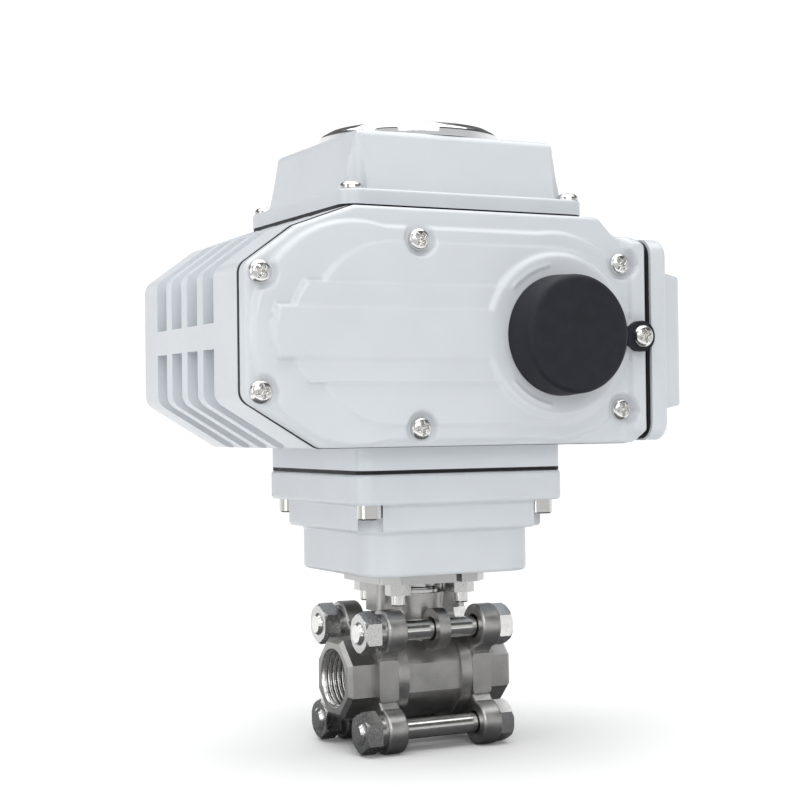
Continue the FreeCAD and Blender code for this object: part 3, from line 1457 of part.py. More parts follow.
def cable_glands():
    """Two plugged cable glands on the back of the wiring compartment."""
    form = Piece("cable_gland_form")
    form.prism("Y", 0, 5.0, regular(16, 6))
    form.turned("Y", [(-wall - 2.5, 0), (-wall - 2.5, gland_radius), (0.5, gland_radius), (0.5, 0)])
    form.turned("Y", [(4.5, 0), (4.5, 7.6), (10, 7.6), (14.5, 5.8), (14.5, 0)])
    form.prism("Y", -wall - 4, 16, circle(0, 0, gland_bore), cut=True)
    group("cable_glands", form, [(gland_x, back, drive_height + rise) for rise in GLAND_HEIGHTS])
    plug = Piece("gland_plug_form")
    plug.turned("Y", [(6, 0), (6, gland_bore - fit_gap), (14.5 + run_gap, gland_bore - fit_gap),
                      (14.5 + run_gap, 5.4),
                      (16.2, 5.0), (16.2, 0)])
    group("gland_plugs", plug, [(gland_x, back, drive_height + rise) for rise in GLAND_HEIGHTS])


def build():
    valve_body()
    end_cap("end_cap_left", -1)
    end_cap("end_cap_right", 1)
    ball()
    seat_rings()
    body_seals()
    stem()
    stem_packing_set()
    hexagon_bolt_set()
    pattern, screw_top = adapter_set()
    base_housing(pattern, screw_top)
    base_gasket()
    base_bolts()
    main_housing()
    front_cover()
    front_cover_gasket()
    cover_screws()
    override_cap()
    override_cap_tab()
    top_cover()
    top_cover_gasket()
    window_set()
    terminal_cover()
    terminal_cover_gasket()
    gear_train()
    gear_plate()
    motor()
    worm_shaft()
    worm_wheel()
    output_shaft()
    bearings()
    controls()
    cable_glands()


def check_and_export():
    """Stop on any failed object, then write one STEP file for each piece."""
    doc.recompute()
    for item in doc.Objects:
        if "Invalid" in item.State or "Error" in item.State:
            raise ValueError(f"{item.Label} failed: {item.State}")
    for item in doc.Objects:
        if item.TypeId in ("PartDesign::Pocket", "PartDesign::Groove"):
            if item.Shape.Volume >= item.BaseFeature.Shape.Volume:
                raise ValueError(f"{item.Label} removed nothing")
    for item in NODES:
        if item.Shape.isNull() or not item.Shape.isValid():
            raise ValueError(f"{item.Label} has no valid shape")
    os.makedirs("parts", exist_ok=True)
    for item in NODES:
        item.Shape.exportStep(f"parts/{item.Label}.step")
    print(f"{len(NODES)} nodes written")


build()
check_and_export()
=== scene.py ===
"""Looks of an electric quarter-turn valve actuator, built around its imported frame.

Run as a script. Every size is in metres, in the frame's own axes: +Z along the stem,
+X along the pipe, -Y out of the gear cover.
"""
import math
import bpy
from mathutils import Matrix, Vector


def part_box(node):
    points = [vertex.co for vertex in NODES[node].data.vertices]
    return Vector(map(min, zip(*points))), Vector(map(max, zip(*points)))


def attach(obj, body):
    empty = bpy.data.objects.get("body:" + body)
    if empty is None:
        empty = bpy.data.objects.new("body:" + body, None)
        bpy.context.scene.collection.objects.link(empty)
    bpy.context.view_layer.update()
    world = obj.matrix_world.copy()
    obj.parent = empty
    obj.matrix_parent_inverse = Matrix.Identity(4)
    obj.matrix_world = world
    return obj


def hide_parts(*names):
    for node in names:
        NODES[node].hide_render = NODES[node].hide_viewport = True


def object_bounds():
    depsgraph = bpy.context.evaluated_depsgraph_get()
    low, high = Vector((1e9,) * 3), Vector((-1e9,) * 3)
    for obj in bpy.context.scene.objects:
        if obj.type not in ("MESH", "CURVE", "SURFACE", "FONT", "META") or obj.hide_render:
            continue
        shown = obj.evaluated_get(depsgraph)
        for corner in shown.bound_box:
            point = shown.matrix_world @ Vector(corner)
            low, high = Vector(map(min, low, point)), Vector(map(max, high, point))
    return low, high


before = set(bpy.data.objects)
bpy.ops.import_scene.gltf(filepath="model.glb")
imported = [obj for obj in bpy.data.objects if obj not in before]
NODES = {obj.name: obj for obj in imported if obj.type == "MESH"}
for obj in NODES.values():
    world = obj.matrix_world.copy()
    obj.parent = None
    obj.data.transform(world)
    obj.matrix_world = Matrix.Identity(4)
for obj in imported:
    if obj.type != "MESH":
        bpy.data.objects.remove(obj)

from types import SimpleNamespace

import bmesh
import bpy
from mathutils import Matrix, Vector

bl_info = {
    "name": "Valve actuator looks",
    "version": (1, 0, 0),
    "blender": (4, 5, 0),
    "location": "3D View > Sidebar > Actuator",
    "description": "Paints and details a motorized ball valve actuator",
    "category": "Object",
}

CAD_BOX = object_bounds()
MM = 0.001


# ---- places read from the frame -----------------------------------------------------------------
def middle(node):
    low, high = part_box(node)
    return (low + high) / 2


DRIVE_HEIGHT = middle("worm_gear").z
WORM_X = middle("worm_gear").x
MOTOR_X = middle("motor").x
COVER_LOW, COVER_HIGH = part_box("front_gear_cover")

# ---- details of the gear cover: radii about the motor or the manual drive, and heights -----------
UPPER_BAR_END = 25.6 * MM
NAME_BAR_END = 31.0 * MM
ARC_RADIUS = 24.3 * MM
ARC_HALF_WIDTH = 0.75 * MM
ARC_HEIGHT = 0.45 * MM
ARC_START, ARC_END = 98, 140
TAB_PAD_RADIUS = 5.3 * MM
DRIVE_WELL_RADIUS = 6.4 * MM
DRIVE_WELL_DEPTH = 1.8 * MM
SCREW_SEAT_RADIUS = 4.7 * MM
FLANGE_STEP = 6.0 * MM

# ---- studio: name, place, size, power setting and share of it -----------------------------------
SOFT_LIGHTS = (("overhead_softbox", (-0.1, -0.05, 1.5), (2.4, 2.4), "key", 1.0),
               ("front_softbox", (-0.35, -1.5, 0.75), (1.5, 0.6), "fill", 1.0),
               ("left_softbox", (-1.5, -0.3, 0.5), (0.5, 1.3), "fill", 0.45))
SKY_BANDS = ((0.0, 1.0), (0.27, 1.0), (0.36, 0.16), (0.66, 0.12), (0.82, 0.85), (1.0, 0.9))
FLOOR_HALF, FLOOR_DROP = 0.40, 0.2 * MM
CARD_HALF, CARD_DROP = 0.19, 0.1 * MM

# ---- screws --------------------------------------------------------------------------------------
PAN_RADIUS = 3.9 * MM
PAN_HEIGHT = 2.6 * MM
SHANK_RADIUS = 2.0 * MM


# ---- shader expressions -------------------------------------------------------------------------
class Wire:
    """One output socket; arithmetic on it adds Math nodes to the same material."""

    def __init__(self, recipe, socket):
        self.recipe = recipe
        self.socket = socket

    def math(self, operation, *values):
        return self.recipe.node("ShaderNodeMath", {"operation": operation},
                                dict(enumerate(values)))

    def __add__(self, other):
        return self.math("ADD", self, other)

    def __radd__(self, other):
        return self.math("ADD", other, self)

    def __sub__(self, other):
        return self.math("SUBTRACT", self, other)

    def __rsub__(self, other):
        return self.math("SUBTRACT", other, self)

    def __mul__(self, other):
        return self.math("MULTIPLY", self, other)

    def __rmul__(self, other):
        return self.math("MULTIPLY", other, self)

    def __truediv__(self, other):
        return self.math("DIVIDE", self, other)

    def __pow__(self, other):
        return self.math("POWER", self, other)

    def sine(self):
        return self.math("SINE", self)

    def size(self):
        return self.math("ABSOLUTE", self)

    def over(self, edge):
        return self.math("GREATER_THAN", self, edge)

    def ramp(self, low, high, start=0.0, end=1.0):
        """Rises from start to end as this value goes from low to high, and stays within them."""
        return self.recipe.node("ShaderNodeMapRange", {"clamp": True},
                                {"Value": self, "From Min": low, "From Max": high,
                                 "To Min": start, "To Max": end}, "Result")


class Recipe:
    """A material being made: its Principled shader and one way to add each other node."""

    def __init__(self, name, **constants):
        self.material = bpy.data.materials.new(name)
        self.material.use_nodes = True
        self.tree = self.material.node_tree
        self.shader = self.tree.nodes["Principled BSDF"]
        for socket, value in constants.items():
            self.shader.inputs[socket.replace("_", " ")].default_value = value
        self.coordinates = None

    def node(self, kind, settings, inputs, output=0):
        """Add a node of a kind; its settings go in before the values and links of its sockets."""
        made = self.tree.nodes.new(kind)
        for key, value in settings.items():
            if key == "stops":
                for index, (place, colour) in enumerate(value):
                    stop = (made.color_ramp.elements[index] if index < 2
                            else made.color_ramp.elements.new(place))
                    stop.position = place
                    stop.color = (*colour, 1.0)
            else:
                setattr(made, key, value)
        for key, value in inputs.items():
            self.feed(made.inputs[key], value)
        return Wire(self, made.outputs[output])

    def feed(self, socket, value):
        if isinstance(value, Wire):
            self.tree.links.new(value.socket, socket)
        else:
            socket.default_value = value

    def set(self, **sockets):
        """Feed sockets of the Principled shader, named with underscores for spaces."""
        for name, value in sockets.items():
            self.feed(self.shader.inputs[name.replace("_", " ")], value)
        return self

    def place(self, stretch=(1.0, 1.0, 1.0)):
        """The piece's own coordinates in millimetres, stretched along each axis."""
        if self.coordinates is None:
            self.coordinates = self.node("ShaderNodeTexCoord", {}, {}, "Object")
        factors = tuple(value / MM for value in stretch)
        return self.node("ShaderNodeVectorMath", {"operation": "MULTIPLY"},
                         {0: self.coordinates, 1: factors})

    def axes(self):
        """The piece's own X, Y and Z in millimetres, as three values."""
        split = self.node("ShaderNodeSeparateXYZ", {}, {0: self.place()}, "X")
        outputs = split.socket.node.outputs
        return Wire(self, outputs["X"]), Wire(self, outputs["Y"]), Wire(self, outputs["Z"])

    def noise(self, per_mm, detail=3.0, rough=0.55, stretch=(1.0, 1.0, 1.0)):
        return self.node("ShaderNodeTexNoise", {"noise_dimensions": "3D"},
                         {"Vector": self.place(stretch), "Scale": per_mm, "Detail": detail,
                          "Roughness": rough}, "Fac")

    def cells(self, per_mm, output="Distance", feature="F1"):
        return self.node("ShaderNodeTexVoronoi", {"feature": feature},
                         {"Vector": self.place(), "Scale": per_mm}, output)

    def blend(self, factor, first, second):
        """Mix two colours."""
        made = self.tree.nodes.new("ShaderNodeMix")
        made.data_type = "RGBA"
        by_name = {socket.identifier: socket for socket in made.inputs}
        self.feed(by_name["Factor_Float"], factor)
        for key, colour in (("A_Color", first), ("B_Color", second)):
            if not isinstance(colour, Wire):
                colour = (*colour[:3], 1.0)
            self.feed(by_name[key], colour)
        shown = next(socket for socket in made.outputs if socket.identifier == "Result_Color")
        return Wire(self, shown)

    def bumps(self, *layers):
        """Chain relief layers, each a (height, depth in mm, strength), into the shader's Normal."""
        normal = None
        for height, depth, strength in layers:
            inputs = {"Height": height, "Distance": depth * MM, "Strength": strength}
            if normal is not None:
                inputs["Normal"] = normal
            normal = self.node("ShaderNodeBump", {}, inputs, "Normal")
        return self.set(Normal=normal)


def shade(*pairs):
    """Multiply a colour by a factor, kept within the range of a real surface."""
    colour, factor = pairs
    return tuple(min(0.98, max(0.0, part * factor)) for part in colour)


# ---- finishes -----------------------------------------------------------------------------------
def powder_coat(name, colour):
    """White polyester powder on die-cast aluminium: faint orange peel and a soft gloss."""
    coat = Recipe(name, Roughness=0.34, IOR=1.5, Coat_Roughness=0.22)
    cloud = coat.noise(0.035, 2.0)
    fleck = coat.noise(3.5, 2.0)
    tint = coat.blend(cloud.ramp(0.35, 0.65), shade(colour, 0.975), shade(colour, 1.015))
    coat.set(Base_Color=coat.blend(fleck.ramp(0.66, 0.74, 0.0, 0.35), tint, shade(colour, 0.86)),
             Roughness=coat.noise(0.4, 3.0).ramp(0.3, 0.7, 0.29, 0.40),
             Coat_Weight=cloud.ramp(0.3, 0.7, 0.22, 0.32))
    coat.bumps((coat.noise(0.12, 2.0), 0.20, 0.35), (coat.noise(0.9, 2.0), 0.028, 0.6),
               (coat.noise(3.2, 3.0), 0.006, 0.5))
    return coat.material


def cast_steel(name, colour):
    """Investment-cast stainless, bead blasted: fine grain, soft dimples and darker hollows."""
    cast = Recipe(name, Metallic=1.0, IOR=2.6)
    grain = cast.noise(6.0, 4.0, 0.7)
    patch = cast.noise(0.16, 3.0)
    base = cast.blend(patch.ramp(0.35, 0.68), shade(colour, 0.86), shade(colour, 1.08))
    cast.set(Base_Color=cast.blend(grain.ramp(0.42, 0.62, 0.0, 0.5), base, shade(colour, 0.74)),
             Roughness=(patch.ramp(0.3, 0.7, 0.30, 0.42) + grain.ramp(0.3, 0.7, -0.03, 0.05)))
    cast.bumps((cast.noise(0.3, 3.0), 0.18, 0.35), (cast.cells(1.6).ramp(0.0, 0.7), 0.03, 0.5),
               (grain, 0.02, 0.55))
    return cast.material


def turned_steel(name, colour, along, low=0.10, high=0.20):
    """Bright turned or drawn bar: fine lines round the axis it was turned on."""
    bar = Recipe(name, Metallic=1.0, IOR=2.6)
    stretch = tuple(9.0 if axis == along else 0.12 for axis in "XYZ")
    lines = bar.noise(1.0, 3.0, 0.6, stretch)
    smear = bar.noise(0.5, 2.0)
    bar.set(Base_Color=bar.blend(lines, shade(colour, 0.90), shade(colour, 1.06)),
            Roughness=(lines.ramp(0.3, 0.7, low, high) + smear.ramp(0.4, 0.7, 0.0, 0.06)))
    bar.bumps((lines, 0.006, 0.5))
    return bar.material


def milled_steel(name, colour, low=0.18, high=0.32):
    """Machined nuts, rings and plates: satin with small handling marks."""
    part = Recipe(name, Metallic=1.0, IOR=2.6)
    haze = part.noise(1.1, 4.0)
    part.set(Base_Color=part.blend(haze.ramp(0.3, 0.7), shade(colour, 0.95), shade(colour, 1.04)),
             Roughness=haze.ramp(0.3, 0.72, low, high))
    part.bumps((part.noise(7.0, 2.0), 0.0012, 0.3))
    return part.material


def plain_rubber(name, colour, rough=0.58):
    """Moulded rubber: a fine matte skin with a little painted sheen, as lighter patches painted into
    its colour.
    """
    rubber = Recipe(name, IOR=1.5, Specular_IOR_Level=0.28)
    painted_sheen_patches = rubber.noise(0.22, 4.0)
    skin = rubber.noise(7.0, 3.0)
    # Painted sheen: these noise patches lighten the base colour, and the same patches also vary the
    # roughness.
    rubber.set(Base_Color=rubber.blend(painted_sheen_patches.ramp(0.4, 0.75), shade(colour, 0.85),
                                       shade(colour, 1.35)),
               Roughness=(painted_sheen_patches.ramp(0.3, 0.7, rough - 0.06, rough + 0.06)
                          + skin.ramp(0.3, 0.7, -0.03, 0.03)))
    rubber.bumps((rubber.noise(0.5, 2.0), 0.05, 0.3), (skin, 0.012, 0.5))
    return rubber.material


def moulded_plastic(name, colour, rough=0.42):
    """Injection-moulded part with a fine spark-eroded texture."""
    part = Recipe(name, IOR=1.46)
    grain = part.cells(3.2)
    part.set(Base_Color=part.blend(part.noise(0.3, 3.0).ramp(0.35, 0.7), shade(colour, 0.90),
                                   shade(colour, 1.08)),
             Roughness=grain.ramp(0.0, 0.6, rough - 0.05, rough + 0.07))
    part.bumps((grain, 0.010, 0.5), (part.noise(0.7, 2.0), 0.02, 0.25))
    return part.material


def chrome(name, colour):
    """Bright decorative plating with a trace of polishing haze."""
    plate = Recipe(name, Metallic=1.0, IOR=2.9)
    haze = plate.noise(0.6, 4.0)
    plate.set(Base_Color=plate.blend(haze, shade(colour, 0.96), shade(colour, 1.03)),
              Roughness=haze.ramp(0.35, 0.75, 0.035, 0.085))
    plate.bumps((plate.noise(0.9, 1.0), 0.01, 0.15))
    return plate.material


def clear_dome(name, colour):
    """Tinted window moulding, with faint flow marks."""
    lens = Recipe(name, Transmission_Weight=0.88, IOR=1.45)
    haze = lens.noise(0.15, 3.0)
    lens.set(Base_Color=lens.blend(haze, shade(colour, 0.94), shade(colour, 1.04)),
             Roughness=haze.ramp(0.3, 0.7, 0.02, 0.06))
    lens.bumps((lens.noise(0.25, 1.0), 0.03, 0.2))
    return lens.material


def printed_board(name, colour):
    """Green solder mask over faint copper tracks."""
    board = Recipe(name, IOR=1.5)
    across, along, _ = board.axes()
    tracks = (across * 2.1).sine().over(0.55) * (along * 0.33).sine().ramp(-0.2, 0.2)
    board.set(Base_Color=board.blend(tracks, colour, shade(colour, 1.7)),
              Roughness=tracks.ramp(0.0, 1.0, 0.34, 0.26))
    board.bumps((tracks, 0.03, 0.5), (board.noise(2.0, 2.0), 0.01, 0.3))
    return board.material


def dial_paint(name, colour):
    """Printed dial: pale face with plain tick marks every fifteen degrees."""
    dial = Recipe(name, IOR=1.48)
    across, deep, _ = dial.axes()
    turn = deep.math("ARCTAN2", deep, across)
    ticks = (turn * 24.0).math("COSINE", turn * 24.0).over(0.93)
    dial.set(Base_Color=dial.blend(ticks, colour, (0.03, 0.03, 0.035)),
             Roughness=dial.noise(2.0, 2.0).ramp(0.3, 0.7, 0.36, 0.46))
    dial.bumps((dial.noise(3.0, 2.0), 0.005, 0.4))
    return dial.material


# ---- mesh making --------------------------------------------------------------------------------
def new_piece(name, mesh, material, body, replaced=(), smooth_angle=35.0):
    """Turn a bmesh into a finished piece that rides on a body and may stand for CAD nodes."""
    data = bpy.data.meshes.new(name)
    bmesh.ops.recalc_face_normals(mesh, faces=mesh.faces)
    for face in mesh.faces:
        face.smooth = True
    limit = math.radians(smooth_angle)
    for edge in mesh.edges:
        edge.smooth = not edge.is_manifold or edge.calc_face_angle(0.0) < limit
    mesh.to_mesh(data)
    mesh.free()
    data.materials.append(material)
    piece = bpy.data.objects.new(name, data)
    bpy.context.scene.collection.objects.link(piece)
    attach(piece, body)
    if replaced:
        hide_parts(*replaced)
    return piece


def paint(material, *names):
    """Give CAD nodes that keep their own shape a finish."""
    for name in names:
        for slot in NODES[name].material_slots:
            slot.material = material


def rounded(points, steps=6):
    """Round the corners of an open profile: each point is (across, along, corner radius)."""
    line = []
    for index, (across, along, radius) in enumerate(points):
        here = Vector((across, along))
        if radius <= 0 or index in (0, len(points) - 1):
            line.append(here)
            continue
        before = (Vector(points[index - 1][:2]) - here).normalized()
        after = (Vector(points[index + 1][:2]) - here).normalized()
        half = before.angle(after) / 2
        reach = radius / math.tan(half)
        centre = here + (before + after).normalized() * (radius / math.sin(half))
        start, end = here + before * reach - centre, here + after * reach - centre
        for step in range(steps + 1):
            line.append(centre + start.slerp(end, step / steps).normalized() * radius)
    return line


def lathe(profile, centre, axis, segments=96):
    """Turn a profile of (radius, along) points, in metres, about an axis through a centre."""
    mesh = bmesh.new()
    turn = Vector((0, 0, 1)).rotation_difference(Vector(axis)).to_matrix().to_4x4()
    rows = []
    for radius, along in profile:
        if radius < 1e-7:
            rows.append([mesh.verts.new((0, 0, along))])
            continue
        row = []
        for index in range(segments):
            angle = 2 * math.pi * index / segments
            row.append(mesh.verts.new((radius * math.cos(angle), radius * math.sin(angle), along)))
        rows.append(row)
    for low, high in zip(rows, rows[1:]):
        for index in range(segments):
            after = (index + 1) % segments
            corners = [low[index % len(low)], low[after % len(low)],
                       high[after % len(high)], high[index % len(high)]]
            ring = list(dict.fromkeys(corners))
            if len(ring) > 2:
                mesh.faces.new(ring)
    bmesh.ops.transform(mesh, matrix=Matrix.Translation(centre) @ turn, verts=mesh.verts)
    return mesh


def add_to(mesh, other):
    """Copy one bmesh's geometry into another."""
    data = bpy.data.meshes.new("joined")
    other.to_mesh(data)
    other.free()
    mesh.from_mesh(data)
    bpy.data.meshes.remove(data)


def islands(node):
    """The box of each separate solid in a CAD node, as (lowest, highest) corners."""
    mesh = bmesh.new()
    mesh.from_mesh(NODES[node].data)
    bmesh.ops.remove_doubles(mesh, verts=mesh.verts, dist=1e-6)
    left, boxes = set(mesh.verts), []
    while left:
        wave = [left.pop()]
        seen = list(wave)
        while wave:
            vert = wave.pop()
            for edge in vert.link_edges:
                other = edge.other_vert(vert)
                if other in left:
                    left.discard(other)
                    wave.append(other)
                    seen.append(other)
        low = Vector(min(vert.co[axis] for vert in seen) for axis in range(3))
        high = Vector(max(vert.co[axis] for vert in seen) for axis in range(3))
        boxes.append((low, high))
    mesh.free()
    return sorted(boxes, key=lambda box: tuple(round(part, 5) for part in box[0]))


def back_outline(node):
    """The outer edge of a cover's back face, as (x, z) points in order."""
    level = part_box(node)[1].y
    mesh = bmesh.new()
    mesh.from_mesh(NODES[node].data)
    bmesh.ops.remove_doubles(mesh, verts=mesh.verts, dist=1e-6)
    beside = {}
    for edge in mesh.edges:
        flat = all(abs(vert.co.y - level) < 1e-5 for vert in edge.verts)
        if flat and any(abs(face.normal.y) < 0.1 for face in edge.link_faces):
            first, second = edge.verts
            beside.setdefault(first, []).append(second)
            beside.setdefault(second, []).append(first)
    start = min(beside, key=lambda vert: vert.co.x)
    loop, last = [start], None
    while True:
        onward = [vert for vert in beside[loop[-1]] if vert is not last]
        last = loop[-1]
        if onward[0] is start or len(loop) > 5000:
            break
        loop.append(onward[0])
    points = [Vector((vert.co.x, vert.co.z)) for vert in loop]
    mesh.free()
    area = sum(a.x * b.y - b.x * a.y for a, b in zip(points, points[1:] + points[:1]))
    return points if area > 0 else points[::-1]


def inset(points, distance):
    """Move a closed, anticlockwise outline inwards."""
    moved = []
    for index, here in enumerate(points):
        before = (here - points[index - 1]).normalized()
        after = (points[(index + 1) % len(points)] - here).normalized()
        inward = Vector((-before.y - after.y, before.x + after.x)).normalized()
        side = Vector((-before.y, before.x))
        moved.append(here + inward * (distance / max(0.5, inward.dot(side))))
    return moved


def soft(distance, width):
    """A rounded step: 0 outside an edge, 1 once the distance inside it reaches the width."""
    part = min(1.0, max(0.0, distance / width))
    return part * part * (3 - 2 * part)


def capsule(x, z, start, end, radius):
    """Distance inside a level bar with round ends."""
    near = min(max(x, start), end)
    return radius - math.hypot(x - near, z)


def cover_relief(x, z, size):
    """Height of the gear cover's tiers over its flange, at a place from the drive's axis."""
    motor = math.hypot(x - size.motor_x, z)
    crank = math.hypot(x - size.worm_x, z)
    band = min(size.band_half - abs(z), x - size.motor_x, size.worm_x - x)
    plateau = max(size.motor_disc - motor, band, size.crank_disc - crank)
    height = size.plateau * soft(plateau, size.plateau)
    tier = capsule(x, z, size.tier_start, size.worm_x, size.tier_half)
    past_motor = x < size.motor_x
    upper = min(size.upper_half - abs(z), UPPER_BAR_END - motor if past_motor else 1.0,
                size.worm_x - x)
    name_bar = min(size.lower_half - abs(z), NAME_BAR_END - motor if past_motor else 1.0,
                   size.worm_x - x)
    for level, edge in enumerate((tier, upper, name_bar), 1):
        rise = size.tier_step * level
        height = max(height, (size.plateau + rise) * soft(edge, 0.9 * MM + rise * 0.35)
                     if edge > 0 else 0.0)
    dome = soft(size.dome - crank, 2.6 * MM)
    height = height * (1 - dome) + size.top * dome
    ring = ARC_HALF_WIDTH - abs(crank - ARC_RADIUS)
    angle = math.degrees(math.atan2(z, x - size.worm_x))
    if ARC_START < abs(angle) < ARC_END:
        height += ARC_HEIGHT * soft(ring, 0.5 * MM)
    strip = soft(x - size.strip, 3.0 * MM) * soft(size.band_half - abs(z), 4.0 * MM)
    height = max(height, (size.top - 0.5 * MM) * strip)
    pad = TAB_PAD_RADIUS - math.hypot(x - size.tab_x, z)
    height = max(height, size.top * soft(pad, 1.2 * MM))
    well = soft(DRIVE_WELL_RADIUS - crank, 0.8 * MM)
    height -= DRIVE_WELL_DEPTH * well
    for screw_x, screw_z in size.screws:
        away = math.hypot(x - screw_x, z - screw_z)
        height *= soft(away - SCREW_SEAT_RADIUS, 1.5 * MM)
    return height


def grid_cover(outline, size, pitch):
    """A cover plate with a rounded rim, cut into a fine grid and raised by its relief."""
    mesh = bmesh.new()
    rim = size.rim
    rings = [[mesh.verts.new((point.x, size.back, point.y)) for point in outline]]
    for step in (0.0, 0.12, 0.3, 0.55, 0.8, 1.0):
        drop = rim - math.sqrt(max(0.0, rim * rim - (rim * (1 - step)) ** 2))
        rings.append([mesh.verts.new((point.x, size.face + drop, point.y))
                      for point in inset(outline, rim * step)])
    for outer, inner in zip(rings, rings[1:]):
        for index in range(len(outline)):
            after = (index + 1) % len(outline)
            mesh.faces.new((outer[index], outer[after], inner[after], inner[index]))
    mesh.faces.new(rings[-1])
    mesh.faces.new(rings[0][::-1])
    low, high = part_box("front_gear_cover")
    for axis in (0, 2):
        normal = Vector((axis == 0, 0, axis == 2))
        count = int((high[axis] - low[axis]) / pitch)
        for index in range(1, count + 1):
            place = low[axis] + (index - 0.37) * pitch
            everything = mesh.verts[:] + mesh.edges[:] + mesh.faces[:]
            bmesh.ops.bisect_plane(mesh, geom=everything, plane_co=normal * place,
                                   plane_no=normal, dist=1e-7)
    for vert in mesh.verts:
        if vert.co.y < size.back - 1e-6:
            vert.co.y -= cover_relief(vert.co.x, vert.co.z - DRIVE_HEIGHT, size)
    return mesh


def pan_head(radius, height):
    """Pan head with a tapered cross recess, standing on the plane at zero along +Z."""
    mesh = bmesh.new()
    around, out = 72, 26
    rows = []
    for row in range(out + 1):
        part = (row / out) ** 0.8
        verts = []
        for step in range(around):
            angle = 2 * math.pi * step / around
            across, deep = part * radius * math.cos(angle), part * radius * math.sin(angle)
            dome = height * (1 - 0.30 * part ** 2 - 0.34 * part ** 9)
            arm = min(abs(across), abs(deep))
            reach = max(abs(across), abs(deep))
            slot = soft(0.17 * radius - arm * 0.9, 0.12 * radius) * soft(0.64 * radius - reach,
                                                                         0.16 * radius)
            well = soft(0.34 * radius - part * radius, 0.18 * radius)
            dome -= height * (0.62 * max(slot, well) + 0.16 * well)
            verts.append(mesh.verts.new((across, deep, dome)))
            if row == 0:
                break
        rows.append(verts)
    base = [mesh.verts.new((radius * math.cos(2 * math.pi * step / around),
                            radius * math.sin(2 * math.pi * step / around), 0.0))
            for step in range(around)]
    rows.append(base)
    for low, high in zip(rows, rows[1:]):
        for index in range(around):
            after = (index + 1) % around
            ring = list(dict.fromkeys([low[index % len(low)], low[after % len(low)],
                                       high[after], high[index]]))
            mesh.faces.new(ring)
    mesh.faces.new(base[::-1])
    return mesh


def heads_on(node, axis, radius, height):
    """Pan heads, with their shanks, over every screw of a CAD node; axis points out of the head."""
    mesh = bmesh.new()
    out = Vector(axis)
    turn = Vector((0, 0, 1)).rotation_difference(out).to_matrix().to_4x4()
    for index, (low, high) in enumerate(islands(node)):
        centre = (low + high) / 2
        top = max(low.dot(out), high.dot(out))
        seat = centre + out * (top - height - centre.dot(out))
        head = pan_head(radius, height)
        spin = Matrix.Rotation(math.radians(17 + 41 * index), 4, "Z")
        bmesh.ops.transform(head, matrix=Matrix.Translation(seat) @ turn @ spin, verts=head.verts)
        add_to(mesh, head)
        length = (high - low).dot(Vector(map(abs, out))) - height
        shank = lathe([(0, -length), (1.5 * MM, -length),
                       (SHANK_RADIUS, -length + 0.5 * MM), (SHANK_RADIUS, 0.2 * MM),
                       (0, 0.2 * MM)], seat, out, 24)
        add_to(mesh, shank)
    return mesh


def port_thread(mouth, way, length, size):
    """Internal pipe thread as one closed sleeve: a ridge that winds inwards from the mouth."""
    mesh = bmesh.new()
    around, per_turn = 96, 10
    turns = length / size.thread_pitch
    steps = int(turns * per_turn)
    rings = []
    for index in range(around):
        angle = 2 * math.pi * index / around
        ring = []
        for step in range(steps + 1):
            along = length * step / steps
            phase = (along / size.thread_pitch - index / around) % 1.0
            ridge = soft(0.5 - abs(phase - 0.5), 0.42)
            lead = min(1.0, along / (1.2 * MM))
            radius = size.thread_root - size.thread_depth * ridge * lead
            ring.append((along, radius))
        ring.append((length, size.thread_root + 0.05 * MM))
        ring.append((0.0, size.thread_root + 0.05 * MM))
        rings.append([mesh.verts.new((mouth - way * along, radius * math.cos(angle),
                                      radius * math.sin(angle))) for along, radius in ring])
    for index in range(around):
        here, after = rings[index], rings[(index + 1) % around]
        for step in range(len(here)):
            onward = (step + 1) % len(here)
            mesh.faces.new((here[step], here[onward], after[onward], after[step]))
    return mesh


# ---- sizes and colours a user may change ---------------------------------------------------------
def tint(name, colour, words):
    return bpy.props.FloatVectorProperty(name=name, description=words, default=colour,
                                         subtype="COLOR", size=3, min=0.0, max=1.0)


def length(name, value, words):
    return bpy.props.FloatProperty(name=name, description=words, default=value, unit="LENGTH",
                                   precision=5)


class ActuatorColours(bpy.types.PropertyGroup):
    """Base colours of the finishes."""
    powder: tint("Powder coat", (0.575, 0.605, 0.635), "White coating of the castings")
    casting: tint("Cast steel", (0.52, 0.515, 0.505), "Bead-blasted stainless castings")
    bright: tint("Bright steel", (0.74, 0.735, 0.72), "Bolts, studs and screws")
    machined: tint("Machined steel", (0.60, 0.60, 0.595), "Nuts, washers and plates")
    gasket: tint("Gasket", (0.005, 0.0055, 0.008), "Black gaskets and seals")
    rubber: tint("Dust cap", (0.0105, 0.0125, 0.0185), "Moulded rubber of the dust cap")
    plating: tint("Chrome", (0.80, 0.81, 0.82), "Plated window bezel")
    window: tint("Window", (0.62, 0.78, 0.90), "Tinted window moulding")
    bronze: tint("Bronze", (0.60, 0.37, 0.16), "Worm wheel and bush")
    fluoro: tint("Seat plastic", (0.86, 0.86, 0.83), "Seats, seals and packing")
    black_plastic: tint("Black plastic", (0.020, 0.021, 0.024), "Switches, block and glands")
    pointer: tint("Pointer", (0.80, 0.56, 0.05), "Position pointer")
    board: tint("Board", (0.02, 0.16, 0.06), "Solder mask of the circuit board")
    cams: tint("Cams", (0.55, 0.05, 0.04), "Switch cams")


